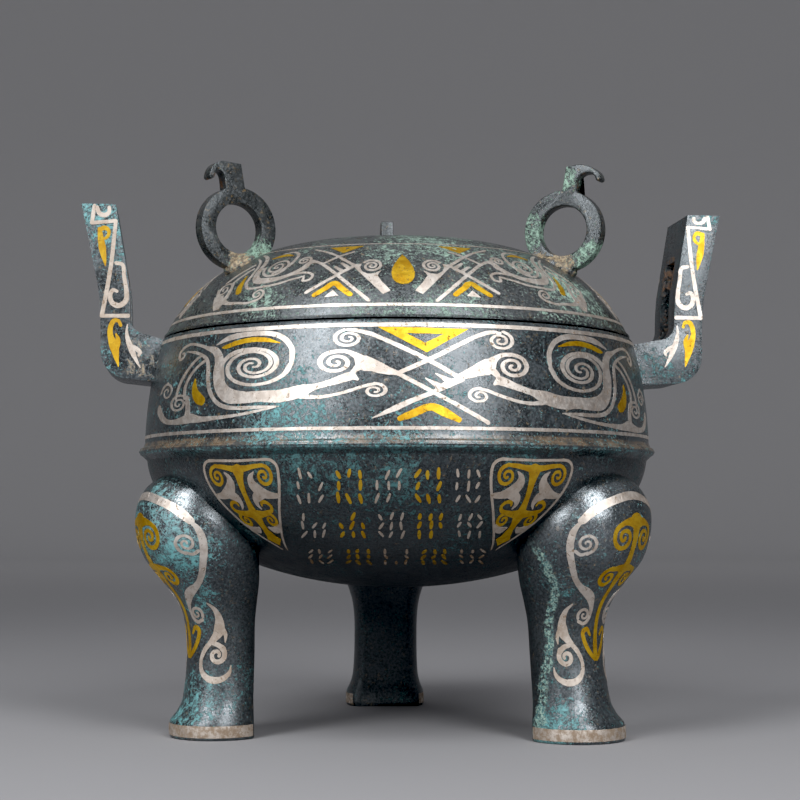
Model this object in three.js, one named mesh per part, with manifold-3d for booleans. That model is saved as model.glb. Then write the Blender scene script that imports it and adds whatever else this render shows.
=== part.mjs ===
// A lidded bronze tripod vessel (ding) of the Warring States type: a round bowl on three
// cabriole legs, two upright loop ears, and a domed lid with three ring knobs.
// Millimetres, +Z up. The bowl stands on z = 0, its ears lie along X and its front faces -Y.
// Azimuths run from the front (-Y) towards +X, in degrees.
import * as THREE from "three";
import { mergeVertices } from "three/addons/utils/BufferGeometryUtils.js";
import Module from "manifold-3d";

// ---- Driving dimensions ----
const SEGMENTS = 52; // sides of every turned surface

const RIB_H = 89.7; // the rib round the belly, where the bowl is widest
const RIB_RADIUS = 85.1;
const RIB_ROOT = 2.8; // half height of the rib where it meets the wall
const RIB_EDGE = 0.4; // half height of its edge

const WALL = 3.5;
const LOWER_RADIUS = 82.6; // lower bowl: an ellipse below the rib
const LOWER_DEPTH = 44.3;
const UPPER_RADIUS = 83.2; // upper wall: an ellipse that only starts to close in
const UPPER_RISE = 105.8;
const RIM_H = 126.4;

const SEAM = 0.4; // the open seam between rim and lid
const LID_H = RIM_H + SEAM;
const LID_CENTRE_H = 80; // lid outline: a superellipse about this height
const LID_RADIUS = 83.85;
const LID_RISE = 79.8;
const LID_POWER = 2.9;
const LID_WALL = 3.2;
const FLANGE_RADIUS = 73.6; // ring under the lid that centres it in the mouth
const FLANGE_WALL = 2.6;
const FLANGE_DEPTH = 6;

// Each leg was cast by hand: girth scales its section, splay moves its foot away from the axis.
const LEGS = [
  { azimuth: -70, girth: 1, splay: -3.2 },
  { azimuth: 50, girth: 1.05, splay: 0 },
  { azimuth: 177.4, girth: 0.97, splay: 0 },
];
const LEG_SIDES = 20;
const LEG_FLAT = 0.62; // flat inner side of a leg, as a share of its section radius
const LEG_CORNER = 12; // the higher, the sharper the flat side's two corners
const SPLAY_H = 60; // splay dies out at this height
// Leg stations from the foot up: height, section radius, distance of its centre from the bowl's axis.
const LEG_STATIONS = [
  [0, 14.6, 66.6],
  [5, 14.5, 66.4],
  [8, 13.2, 65.2],
  [12, 12.2, 64.2],
  [26, 11.7, 62.7],
  [36, 12.2, 62.5],
  [42.5, 13.9, 63],
  [49, 16.9, 64.6],
  [56, 19.8, 67],
  [67, 21.1, 68.4],
  [75.5, 18.6, 69],
  [81, 12.8, 69.2],
  [84.5, 2, 69.4],
];

// The two ears stand a little unequally; outer is the outer face's distance from the bowl's axis.
const EARS = [
  { side: -1, outer: 97.3 },
  { side: 1, outer: 101.1 },
];
const EAR_WIDTH = 25.6; // front to back
const EAR_THICKNESS = 9.4;
const EAR_BOTTOM_H = 113;
const EAR_NECK_TOP_H = 127.5;
const EAR_LEAN_H = 138; // the ear leans outward above this height
const EAR_TOP_H = 169.6;
const EAR_TOP_LEAN = 6.6; // how far the lean carries the top of the outer face
const EAR_TOP_THICKNESS = 11;
const EAR_ELBOW = 9;
const EAR_FILLET = 5;
const EAR_ROOT_X = 80.3; // buried in the bowl's wall
const EAR_ROOT_DROP = 0.9; // the arm slopes a little down to the wall
const LOOP_WIDTH = 10.4;
const LOOP_TOP_H = 155;

// Ring knobs: sink is how much deeper a ring stands in the lid. Nape and beak are where its bird
// head starts and where the hooked tip ends, from the bowl's axis.
const KNOBS = [
  { azimuth: -64.5, sink: 0, nape: 58.3, beak: 69.8 },
  { azimuth: 57, sink: 0, nape: 60.2, beak: 72.4 },
  { azimuth: 177, sink: 3, nape: 58.6, beak: 71 },
];
const KNOB_RADIUS = 13.1;
const KNOB_HOLE = 8.1;
const KNOB_AXIS_R = 60.3; // the ring's centre, from the bowl's axis
const KNOB_AXIS_H = 160;
const KNOB_THICKNESS = 4.4;
const CREST_H = 181; // top of the hooked bird head on each ring
const CREST_THROAT = 65; // where the head's throat leaves the ring, from the bowl's axis
const CREST_LEAN = 1.4; // the nape leans outward
const BEAK_H = 176;
const BEAK_TIP = 0.9;
const FILLET_R = 57.2; // cast fillet where a ring stands on the lid
const FILLET_SIZE = [7.6, 4.2, 3.2];
const FILLET_TILT = 22;

// ---- Materials ----
const bodyBronze = new THREE.MeshStandardMaterial({ color: 0x35413f, roughness: 0.48, metalness: 0.7 });
const lidBronze = new THREE.MeshStandardMaterial({ color: 0x414d49, roughness: 0.55, metalness: 0.65 });

// ---- Solids ----
const wasm = await Module();
wasm.setup();

function solidOf(geometry) {
  const bare = geometry.clone();
  bare.deleteAttribute("normal");
  bare.deleteAttribute("uv");
  const merged = mergeVertices(bare, 1e-4);
  const corners = merged.index.array;
  const kept = [];
  for (let i = 0; i < corners.length; i += 3) {
    const [a, b, c] = corners.slice(i, i + 3);
    if (a !== b && b !== c && c !== a) kept.push(a, b, c);
  }
  const vertProperties = new Float32Array(merged.attributes.position.array);
  return new wasm.Manifold(new wasm.Mesh({ numProp: 3, vertProperties, triVerts: new Uint32Array(kept) }));
}

function meshOf(solid, name, material) {
  const { numProp, vertProperties, triVerts } = solid.getMesh();
  const geometry = new THREE.BufferGeometry();
  geometry.setAttribute("position", new THREE.InterleavedBufferAttribute(
    new THREE.InterleavedBuffer(vertProperties, numProp), 3, 0));
  geometry.setIndex(new THREE.BufferAttribute(triVerts, 1));
  const mesh = new THREE.Mesh(geometry, material);
  mesh.name = name;
  return mesh;
}

const radians = THREE.MathUtils.degToRad;

// A closed profile of [radius, height] points, turned about the Z axis.
function turned(profile) {
  const points = profile.map(([radius, height]) => new THREE.Vector2(radius, height));
  return solidOf(new THREE.LatheGeometry(points, SEGMENTS).rotateX(Math.PI / 2));
}

// Equal steps from one value to another, both ends included.
function steps(from, to, count) {
  return Array.from({ length: count + 1 }, (_, i) => from + ((to - from) * i) / count);
}

// ---- Bowl ----
const lowerPoint = (angle, inset) => [
  (LOWER_RADIUS - inset) * Math.cos(angle),
  RIB_H - (LOWER_DEPTH - inset) * Math.sin(angle),
];
const upperRadius = (height, inset) =>
  (UPPER_RADIUS - inset) * Math.sqrt(1 - ((height - RIB_H) / UPPER_RISE) ** 2);

function bowlOutside() {
  const ribRoot = Math.asin(RIB_ROOT / LOWER_DEPTH);
  const lower = steps(Math.PI / 2, ribRoot, 11).map((angle) => lowerPoint(angle, 0));
  lower[0][0] = 0;
  const rib = [[RIB_RADIUS, RIB_H - RIB_EDGE], [RIB_RADIUS, RIB_H + RIB_EDGE]];
  const upper = steps(RIB_H + RIB_ROOT, RIM_H, 4).map((height) => [upperRadius(height, 0), height]);
  return turned([...lower, ...rib, ...upper, [0, RIM_H]]);
}

function bowlHollow() {
  const lower = steps(Math.PI / 2, 0, 9).map((angle) => lowerPoint(angle, WALL));
  lower[0][0] = 0;
  const upper = steps(RIB_H, RIM_H, 3).slice(1).map((height) => [upperRadius(height, WALL), height]);
  const above = RIM_H + 5;
  return turned([...lower, ...upper, [upperRadius(RIM_H, WALL), above], [0, above]]);
}

// ---- Legs ----
// A D-shaped section: round outside, flat towards the bowl's axis.
function legSection([height, radius, centre], { azimuth, girth, splay }) {
  const turn = radians(azimuth - 90);
  const size = radius * girth;
  const middle = centre + splay * Math.max(1 - height / SPLAY_H, 0);
  return Array.from({ length: LEG_SIDES }, (_, i) => {
    const angle = (2 * Math.PI * i) / LEG_SIDES;
    const inward = Math.max(-Math.cos(angle), 1e-3);
    const flat = (LEG_FLAT * size) / inward;
    const reach = (size ** -LEG_CORNER + flat ** -LEG_CORNER) ** (-1 / LEG_CORNER);
    const point = new THREE.Vector2(middle + reach * Math.cos(angle), reach * Math.sin(angle));
    point.rotateAround(new THREE.Vector2(), turn);
    return [point.x, point.y, height];
  });
}

// A skin over equal rings of points, closed with a fan at each end.
function lofted(rings) {
  const count = rings[0].length;
  const middle = (ring) => [0, 1, 2].map((k) => ring.reduce((sum, point) => sum + point[k], 0) / count);
  const points = [...rings.flat(), middle(rings[0]), middle(rings.at(-1))];
  const first = rings.length * count;
  const faces = [];
  for (let i = 0; i < count; i++) {
    const next = (i + 1) % count;
    const last = (rings.length - 1) * count;
    faces.push(first, next, i, first + 1, last + i, last + next);
    for (let row = 0; row < last; row += count) {
      faces.push(row + i, row + next, row + count + next);
      faces.push(row + i, row + count + next, row + count + i);
    }
  }
  const geometry = new THREE.BufferGeometry();
  geometry.setAttribute("position", new THREE.Float32BufferAttribute(points.flat(), 3));
  geometry.setIndex(faces);
  return geometry;
}

function leg(shape) {
  return solidOf(lofted(LEG_STATIONS.map((station) => legSection(station, shape))));
}

// ---- Ears ----
// The ear's side outline, bent at an elbow, with its loop cut through from inside to outside.
function ear({ side, outer }) {
  const inner = outer - EAR_THICKNESS;
  const topOuter = outer + EAR_TOP_LEAN;
  const outline = new THREE.Shape();
  outline.moveTo(EAR_ROOT_X, EAR_BOTTOM_H - EAR_ROOT_DROP);
  outline.lineTo(outer - EAR_ELBOW, EAR_BOTTOM_H);
  outline.absarc(outer - EAR_ELBOW, EAR_BOTTOM_H + EAR_ELBOW, EAR_ELBOW, -Math.PI / 2, 0);
  outline.quadraticCurveTo(outer, EAR_LEAN_H, outer + EAR_TOP_LEAN / 5, EAR_LEAN_H + 6);
  outline.lineTo(topOuter, EAR_TOP_H);
  outline.lineTo(topOuter - EAR_TOP_THICKNESS, EAR_TOP_H);
  outline.lineTo(inner + 0.6, EAR_LEAN_H + 6);
  outline.quadraticCurveTo(inner, EAR_LEAN_H, inner, EAR_NECK_TOP_H + EAR_FILLET);
  outline.absarc(inner - EAR_FILLET, EAR_NECK_TOP_H + EAR_FILLET, EAR_FILLET, 0, -Math.PI / 2, true);
  outline.lineTo(EAR_ROOT_X - 3, EAR_NECK_TOP_H - 2 * EAR_ROOT_DROP);
  const plate = new THREE.ExtrudeGeometry(outline, { depth: EAR_WIDTH, bevelEnabled: false, curveSegments: 5 });
  plate.translate(0, 0, -EAR_WIDTH / 2).rotateX(Math.PI / 2);
  const loopHeight = LOOP_TOP_H - EAR_NECK_TOP_H;
  const loop = new THREE.BoxGeometry(4 * EAR_THICKNESS, LOOP_WIDTH, loopHeight);
  loop.translate(outer, 0, EAR_NECK_TOP_H + loopHeight / 2);
  const turn = side > 0 ? 0 : Math.PI;
  return solidOf(plate.rotateZ(turn)).subtract(solidOf(loop.rotateZ(turn)));
}

// ---- Lid ----
const lidHeight = (radius, inset) =>
  LID_CENTRE_H +
  (LID_RISE - inset) * (1 - (radius / (LID_RADIUS - inset)) ** LID_POWER) ** (1 / LID_POWER);
// Radius of the lid's outline where it reaches a height.
const lidRadius = (height, inset) =>
  (LID_RADIUS - inset) *
  (1 - ((height - LID_CENTRE_H) / (LID_RISE - inset)) ** LID_POWER) ** (1 / LID_POWER);

function lidProfile(inset, count) {
  const edge = lidRadius(LID_H, inset);
  return steps(Math.PI / 2, 0, count).map((angle) => {
    const radius = edge * Math.sin(angle);
    return [radius, lidHeight(radius, inset)];
  });
}

function lidDome() {
  return turned([[0, LID_H], ...lidProfile(0, 11)]);
}

function lidHollow() {
  return turned([[0, LID_H - 5], [lidRadius(LID_H, LID_WALL), LID_H - 5], ...lidProfile(LID_WALL, 8)]);
}

function lidFlange() {
  const inner = FLANGE_RADIUS - FLANGE_WALL;
  const bottom = LID_H - FLANGE_DEPTH;
  const top = LID_H + 2;
  const ring = [[inner, bottom], [FLANGE_RADIUS, bottom], [FLANGE_RADIUS, top], [inner, top], [inner, bottom]];
  return turned(ring);
}

// ---- Ring knobs with hooked bird heads ----
// Side outline of a knob: distance from the bowl's axis across, height up.
function knobOutline({ nape, beak }) {
  const crown = CREST_THROAT + 0.8; // the flat top ends a little past the throat
  const ringTop = (radius) => Math.sqrt(KNOB_RADIUS ** 2 - (radius - KNOB_AXIS_R) ** 2);
  const from = Math.atan2(ringTop(nape), nape - KNOB_AXIS_R);
  const to = Math.atan2(ringTop(CREST_THROAT), CREST_THROAT - KNOB_AXIS_R);
  const outline = new THREE.Shape();
  outline.moveTo(nape, KNOB_AXIS_H + ringTop(nape));
  outline.absarc(KNOB_AXIS_R, KNOB_AXIS_H, KNOB_RADIUS, from, to + 2 * Math.PI);
  const hook = (CREST_THROAT + beak) / 2; // the highest point under the beak
  outline.bezierCurveTo(CREST_THROAT + 0.2, BEAK_H, CREST_THROAT + 0.6, BEAK_H + 2, hook, BEAK_H + 2);
  outline.quadraticCurveTo(beak - 1.4, BEAK_H + 2, beak - BEAK_TIP, BEAK_H);
  outline.absarc(beak, BEAK_H, BEAK_TIP, Math.PI, 2 * Math.PI);
  outline.bezierCurveTo(beak + 0.6, BEAK_H + 3.4, crown + 2, CREST_H, crown, CREST_H);
  outline.lineTo(nape + CREST_LEAN, CREST_H - 0.4);
  const hole = new THREE.Path();
  hole.absarc(KNOB_AXIS_R, KNOB_AXIS_H, KNOB_HOLE, 0, 2 * Math.PI);
  outline.holes.push(hole);
  return outline;
}

function knob(shape) {
  const turn = radians(shape.azimuth - 90);
  const plate = new THREE.ExtrudeGeometry(knobOutline(shape), {
    depth: KNOB_THICKNESS,
    bevelEnabled: false,
    curveSegments: 7,
  });
  plate.translate(0, -shape.sink, -KNOB_THICKNESS / 2).rotateX(Math.PI / 2).rotateZ(turn);
  const fillet = new THREE.SphereGeometry(1, 14, 7);
  fillet.scale(...FILLET_SIZE).rotateY(radians(FILLET_TILT));
  fillet.translate(FILLET_R, 0, lidHeight(FILLET_R, 0) - 0.6).rotateZ(turn);
  return solidOf(plate).add(solidOf(fillet));
}

// ---- The vessel ----
function vesselBody() {
  let solid = bowlOutside();
  for (const shape of LEGS) solid = solid.add(leg(shape));
  for (const shape of EARS) solid = solid.add(ear(shape));
  return solid.subtract(bowlHollow());
}

function lid() {
  let solid = lidDome();
  for (const shape of KNOBS) solid = solid.add(knob(shape));
  return solid.subtract(lidHollow()).add(lidFlange());
}

const ding = new THREE.Group();
ding.add(meshOf(vesselBody(), "vessel_body", bodyBronze));
ding.add(meshOf(lid(), "lid", lidBronze));

// The origin is the middle of the standing vessel's box, at floor level.
const middle = new THREE.Box3().setFromObject(ding).getCenter(new THREE.Vector3());
ding.position.set(-middle.x, -middle.y, 0);

export default ding;
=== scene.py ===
"""Looks of the bronze ding vessel: cast bronze, silver and gold inlay, patina, light and camera.

Forms are built in millimetres about the bowl's own axis (x to the right, y to the back, z up) and
moved to the frame in metres at the end. Azimuths run from the front (-Y) towards +X, in degrees.
"""
import itertools
import math

import bmesh
import bpy
import numpy as np
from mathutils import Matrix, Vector, noise
from mathutils.geometry import delaunay_2d_cdt


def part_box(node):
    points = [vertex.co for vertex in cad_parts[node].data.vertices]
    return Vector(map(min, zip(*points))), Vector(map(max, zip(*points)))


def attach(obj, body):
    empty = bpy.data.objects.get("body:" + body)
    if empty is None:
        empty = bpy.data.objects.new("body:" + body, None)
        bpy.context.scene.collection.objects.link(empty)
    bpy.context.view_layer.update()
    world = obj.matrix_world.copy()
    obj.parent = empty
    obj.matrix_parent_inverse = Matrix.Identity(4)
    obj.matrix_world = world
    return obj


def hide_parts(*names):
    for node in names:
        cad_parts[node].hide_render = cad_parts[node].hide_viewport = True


MM = 0.001
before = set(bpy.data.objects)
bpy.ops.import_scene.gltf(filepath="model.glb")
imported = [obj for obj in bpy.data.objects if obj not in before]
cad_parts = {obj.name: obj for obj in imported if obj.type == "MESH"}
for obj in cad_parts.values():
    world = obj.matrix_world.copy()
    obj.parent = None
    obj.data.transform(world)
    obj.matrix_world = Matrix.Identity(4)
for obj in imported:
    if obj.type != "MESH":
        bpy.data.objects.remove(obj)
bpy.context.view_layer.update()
LID_LOW, LID_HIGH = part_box("lid")
AXIS_X = (LID_LOW.x + LID_HIGH.x) / 2
AXIS_Y = (LID_LOW.y + LID_HIGH.y) / 2

# ---- Dimensions, as in the CAD part ----
RIB_H = 89.7
RIB_RADIUS = 85.1
RIB_ROOT = 2.8
RIB_EDGE = 0.4
WALL = 3.5
LOWER_RADIUS = 82.6
LOWER_DEPTH = 44.3
UPPER_RADIUS = 83.2
UPPER_RISE = 105.8
RIM_H = 126.4
LID_H = 126.8
LID_CENTRE_H = 80
LID_RADIUS = 83.85
LID_RISE = 79.8
LID_POWER = 2.9
LID_WALL = 3.2
FLANGE_RADIUS = 73.6
FLANGE_WALL = 2.6
FLANGE_DEPTH = 6
LEGS = [
    {"azimuth": -70, "girth": 1, "splay": -3.2},
    {"azimuth": 50, "girth": 1.05, "splay": 0},
    {"azimuth": 177.4, "girth": 0.97, "splay": 0},
]
LEG_FLAT = 0.62
LEG_CORNER = 12
SPLAY_H = 60
# Height, section radius, distance of the section's centre from the bowl's axis.
LEG_STATIONS = [
    (0, 14.6, 66.6),
    (5, 14.5, 66.4),
    (8, 13.2, 65.2),
    (12, 12.2, 64.2),
    (26, 11.7, 62.7),
    (36, 12.2, 62.5),
    (42.5, 13.9, 63),
    (49, 16.9, 64.6),
    (56, 19.8, 67),
    (67, 21.1, 68.4),
    (75.5, 18.6, 69),
    (81, 12.8, 69.2),
    (84.5, 2, 69.4),
]
EARS = [{"side": -1, "outer": 97.3}, {"side": 1, "outer": 101.1}]
EAR_WIDTH = 25.6
EAR_THICKNESS = 9.4
EAR_BOTTOM_H = 113
EAR_NECK_TOP_H = 127.5
EAR_LEAN_H = 138
EAR_TOP_H = 169.6
EAR_TOP_LEAN = 6.6
EAR_TOP_THICKNESS = 11
EAR_ELBOW = 9
EAR_FILLET = 5
EAR_ROOT_X = 80.3
EAR_ROOT_DROP = 0.9
LOOP_WIDTH = 10.4
LOOP_TOP_H = 155
KNOBS = [
    {"azimuth": -64.5, "sink": 0, "nape": 58.3, "beak": 69.8},
    {"azimuth": 57, "sink": 0, "nape": 60.2, "beak": 72.4},
    {"azimuth": 177, "sink": 3, "nape": 58.6, "beak": 71},
]
KNOB_RADIUS = 13.1
KNOB_HOLE = 8.1
KNOB_AXIS_R = 60.3
KNOB_AXIS_H = 160
KNOB_THICKNESS = 4.4
CREST_H = 181
CREST_THROAT = 65
CREST_LEAN = 1.4
BEAK_H = 176
BEAK_TIP = 0.9
FILLET_R = 57.2
FILLET_SIZE = (7.6, 4.2, 3.2)
FILLET_TILT = 22

SEGMENTS = 288  # sides of every turned surface
LEG_SIDES = 72
EDGE = 0.7  # how far sharp cast edges are rounded
LIP_EDGE = 1.0  # the lid's lower edge is rounder


# ---- Building meshes ----
def steps(start, end, count):
    return [start + (end - start) * i / count for i in range(count + 1)]


def placed(points):
    """Points in millimetres about the bowl's axis, moved to the frame in metres."""
    points = np.asarray(points, float).reshape(-1, 3)
    return points * MM + (AXIS_X, AXIS_Y, 0)


def mesh_object(name, points, faces):
    mesh = bpy.data.meshes.new(name)
    mesh.from_pydata(placed(points).tolist(), [], faces)
    mesh.validate()
    obj = bpy.data.objects.new(name, mesh)
    bpy.context.collection.objects.link(obj)
    return obj


def turned(name, profile):
    """A closed profile of (radius, height) points, turned about the bowl's axis."""
    points = []
    rings = []
    for radius, height in profile:
        if radius < 1e-6:
            rings.append([len(points)])
            points.append((0, 0, height))
            continue
        rings.append(list(range(len(points), len(points) + SEGMENTS)))
        for i in range(SEGMENTS):
            angle = 2 * math.pi * i / SEGMENTS
            points.append((radius * math.cos(angle), radius * math.sin(angle), height))
    faces = []
    closed = len(rings[0]) > 1
    pairs = list(zip(rings, rings[1:] + rings[:1])) if closed else list(zip(rings, rings[1:]))
    for low, high in pairs:
        for i in range(SEGMENTS):
            j = (i + 1) % SEGMENTS
            if len(low) == 1:
                faces.append((low[0], high[j], high[i]))
            elif len(high) == 1:
                faces.append((low[i], low[j], high[0]))
            else:
                faces.append((low[i], low[j], high[j], high[i]))
    return mesh_object(name, points, faces)


def apply_modifiers(obj):
    bpy.context.view_layer.update()
    graph = bpy.context.evaluated_depsgraph_get()
    mesh = bpy.data.meshes.new_from_object(obj.evaluated_get(graph))
    old = obj.data
    obj.modifiers.clear()
    obj.data = mesh
    bpy.data.meshes.remove(old)


def combine(obj, other, operation):
    modifier = obj.modifiers.new("combine", "BOOLEAN")
    modifier.operation = operation
    modifier.object = other
    modifier.solver = "MANIFOLD"
    apply_modifiers(obj)
    mesh = other.data
    bpy.data.objects.remove(other)
    bpy.data.meshes.remove(mesh)


def rounded_edges(obj, width, segments=3, angle=40):
    modifier = obj.modifiers.new("edges", "BEVEL")
    modifier.width = width * MM
    modifier.segments = segments
    modifier.limit_method = "ANGLE"
    modifier.angle_limit = math.radians(angle)
    modifier.use_clamp_overlap = True
    apply_modifiers(obj)


def shade(obj, angle=35):
    """Smooth shading, with a crease where two faces meet at a larger angle."""
    for polygon in obj.data.polygons:
        polygon.use_smooth = True
    obj.data.set_sharp_from_angle(angle=math.radians(angle))


def smoothed(stations, value):
    """A station table read at any height, smooth through its points (Catmull-Rom)."""
    heights = [s[0] for s in stations]
    i = min(max(np.searchsorted(heights, value, "right") - 1, 0), len(stations) - 2)
    p0 = stations[max(i - 1, 0)]
    p1 = stations[i]
    p2 = stations[i + 1]
    p3 = stations[min(i + 2, len(stations) - 1)]
    t = (value - p1[0]) / (p2[0] - p1[0])
    result = []
    for k in range(1, len(p1)):
        rise = (p2[0] - p1[0])
        m1 = (p2[k] - p0[k]) / (p2[0] - p0[0]) * rise
        m2 = (p3[k] - p1[k]) / (p3[0] - p1[0]) * rise
        h00 = 2 * t**3 - 3 * t**2 + 1
        h10 = t**3 - 2 * t**2 + t
        h01 = 3 * t**2 - 2 * t**3
        h11 = t**3 - t**2
        result.append(h00 * p1[k] + h10 * m1 + h01 * p2[k] + h11 * m2)
    return result


# ---- Surfaces of revolution ----
def lower_point(angle, inset=0):
    radius = (LOWER_RADIUS - inset) * math.cos(angle)
    return radius, RIB_H - (LOWER_DEPTH - inset) * math.sin(angle)


def upper_radius(height, inset=0):
    return (UPPER_RADIUS - inset) * math.sqrt(1 - ((height - RIB_H) / UPPER_RISE) ** 2)


def lower_radius(height):
    return LOWER_RADIUS * math.sqrt(max(1 - ((RIB_H - height) / LOWER_DEPTH) ** 2, 0))


def lid_height(radius, inset=0):
    share = 1 - (radius / (LID_RADIUS - inset)) ** LID_POWER
    return LID_CENTRE_H + (LID_RISE - inset) * share ** (1 / LID_POWER)


def lid_radius(height, inset=0):
    share = 1 - ((height - LID_CENTRE_H) / (LID_RISE - inset)) ** LID_POWER
    return (LID_RADIUS - inset) * share ** (1 / LID_POWER)


def bowl_outside():
    rib_root = math.asin(RIB_ROOT / LOWER_DEPTH)
    lower = [lower_point(angle) for angle in steps(math.pi / 2, rib_root, 56)]
    lower[0] = (0, lower[0][1])
    tip = RIB_RADIUS - 0.5
    rib = [(tip - 0.9, RIB_H - 1.5), (tip + 0.1, RIB_H - 0.9)]
    rib += [(tip + 0.5 * math.cos(a), RIB_H + 0.5 * math.sin(a)) for a in steps(-1.1, 1.1, 6)]
    rib += [(tip + 0.1, RIB_H + 0.9), (tip - 0.9, RIB_H + 1.5)]
    upper = [(upper_radius(h), h) for h in steps(RIB_H + RIB_ROOT, RIM_H - EDGE, 30)]
    edge = upper_radius(RIM_H) - EDGE
    corner = [(edge + EDGE * math.cos(a), RIM_H - EDGE + EDGE * math.sin(a)) for a in steps(0.3, math.pi / 2, 4)]
    return turned("vessel_bronze", lower + rib + upper + corner + [(0, RIM_H)])


def bowl_hollow():
    lower = [lower_point(angle, WALL) for angle in steps(math.pi / 2, 0, 48)]
    lower[0] = (0, lower[0][1])
    upper = [(upper_radius(h, WALL), h) for h in steps(RIB_H, RIM_H - EDGE, 24)[1:]]
    mouth = upper_radius(RIM_H, WALL)
    lip = [(mouth + EDGE - EDGE * math.cos(a), RIM_H - EDGE + EDGE * math.sin(a)) for a in steps(0.3, 1.5, 4)]
    above = RIM_H + 5
    return turned("hollow", lower + upper + lip + [(mouth + EDGE + 0.02, above), (0, above)])


# ---- Legs ----
def leg_reach(angle, size):
    """Distance from the section's centre to its edge; angle 0 points away from the bowl's axis."""
    inward = max(-math.cos(angle), 1e-3)
    flat = LEG_FLAT * size / inward
    return (size**-LEG_CORNER + flat**-LEG_CORNER) ** (-1 / LEG_CORNER)


def leg_point(shape, angle, height, grow=0):
    """A point on a leg's surface; angle in radians about the leg's own middle."""
    radius, centre = smoothed(LEG_STATIONS, height)
    size = max(radius * shape["girth"], 0.5)
    middle = centre + shape["splay"] * max(1 - height / SPLAY_H, 0)
    reach = leg_reach(angle, size) + grow
    across = middle + reach * math.cos(angle)
    along = reach * math.sin(angle)
    azimuth = math.radians(shape["azimuth"])
    x = across * math.sin(azimuth) + along * math.cos(azimuth)
    y = -across * math.cos(azimuth) + along * math.sin(azimuth)
    return x, y, height


def leg(shape):
    heights = steps(0.6, 76, 76) + steps(76, 84.4, 18)[1:]
    rows = [(0, -0.6), (0.18, -0.18)] + [(h, 0) for h in heights]
    points = []
    for height, grow in rows:
        for i in range(LEG_SIDES):
            points.append(leg_point(shape, 2 * math.pi * i / LEG_SIDES, height, grow))
    faces = [tuple(range(LEG_SIDES))[::-1]]
    for row in range(len(rows) - 1):
        for i in range(LEG_SIDES):
            j = (i + 1) % LEG_SIDES
            low = row * LEG_SIDES
            faces.append((low + i, low + j, low + LEG_SIDES + j, low + LEG_SIDES + i))
    last = (len(rows) - 1) * LEG_SIDES
    faces.append(tuple(range(last, last + LEG_SIDES)))
    return mesh_object("leg", points, faces)


# ---- Outlines of straight lines, arcs and curves ----
class Outline:
    def __init__(self, x, y):
        self.points = [(x, y)]

    def line(self, x, y):
        self.points.append((x, y))

    def arc(self, x, y, radius, start, end, count=10):
        for angle in steps(start, end, count):
            self.points.append((x + radius * math.cos(angle), y + radius * math.sin(angle)))

    def curve(self, *controls, count=8):
        """A Bezier curve from the last point; the last control is its end."""
        hull = [self.points[-1], *controls]
        degree = len(hull) - 1
        for t in steps(0, 1, count)[1:]:
            weights = [math.comb(degree, k) * t**k * (1 - t) ** (degree - k) for k in range(degree + 1)]
            x = sum(w * p[0] for w, p in zip(weights, hull))
            y = sum(w * p[1] for w, p in zip(weights, hull))
            self.points.append((x, y))


def plate(name, outline, thickness, azimuth, sink=0):
    """An outline in the plane through the bowl's axis at an azimuth, given a thickness."""
    kept = []
    for point in outline.points:
        if not kept or math.dist(point, kept[-1]) > 0.05:
            kept.append(point)
    if math.dist(kept[0], kept[-1]) < 0.05:
        kept.pop()
    angle = math.radians(azimuth)
    count = len(kept)
    points = []
    for offset in (-thickness / 2, thickness / 2):
        for radius, height in kept:
            x = radius * math.sin(angle) + offset * math.cos(angle)
            y = -radius * math.cos(angle) + offset * math.sin(angle)
            points.append((x, y, height - sink))
    faces = [tuple(range(count)), tuple(range(2 * count - 1, count - 1, -1))]
    for i in range(count):
        j = (i + 1) % count
        faces.append((i, count + i, count + j, j))
    obj = mesh_object(name, points, faces)
    outward(obj)
    return obj


def outward(obj):
    work = bmesh.new()
    work.from_mesh(obj.data)
    bmesh.ops.recalc_face_normals(work, faces=work.faces)
    work.to_mesh(obj.data)
    work.free()


# ---- Ears ----
def ear_outline(outer):
    inner = outer - EAR_THICKNESS
    top = outer + EAR_TOP_LEAN
    outline = Outline(EAR_ROOT_X, EAR_BOTTOM_H - EAR_ROOT_DROP)
    outline.line(outer - EAR_ELBOW, EAR_BOTTOM_H)
    outline.arc(outer - EAR_ELBOW, EAR_BOTTOM_H + EAR_ELBOW, EAR_ELBOW, -math.pi / 2, 0)
    outline.curve((outer, EAR_LEAN_H), (outer + EAR_TOP_LEAN / 5, EAR_LEAN_H + 6))
    outline.line(top, EAR_TOP_H)
    outline.line(top - EAR_TOP_THICKNESS, EAR_TOP_H)
    outline.line(inner + 0.6, EAR_LEAN_H + 6)
    outline.curve((inner, EAR_LEAN_H), (inner, EAR_NECK_TOP_H + EAR_FILLET))
    outline.arc(inner - EAR_FILLET, EAR_NECK_TOP_H + EAR_FILLET, EAR_FILLET, 0, -math.pi / 2)
    outline.line(EAR_ROOT_X - 3, EAR_NECK_TOP_H - 2 * EAR_ROOT_DROP)
    return outline


def box(name, low, high):
    points = [(x, y, z) for x in (low[0], high[0]) for y in (low[1], high[1]) for z in (low[2], high[2])]
    faces = [(0, 1, 3, 2), (4, 6, 7, 5), (0, 4, 5, 1), (2, 3, 7, 6), (0, 2, 6, 4), (1, 5, 7, 3)]
    return mesh_object(name, points, faces)


def ear(shape):
    outer = shape["outer"]
    obj = plate("ear", ear_outline(outer), EAR_WIDTH, 90 * shape["side"])
    near, far = sorted((shape["side"] * (outer - 20), shape["side"] * (outer + 20)))
    half = LOOP_WIDTH / 2
    combine(obj, box("loop", (near, -half, EAR_NECK_TOP_H), (far, half, LOOP_TOP_H)), "DIFFERENCE")
    rounded_edges(obj, EDGE)
    return obj


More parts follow.
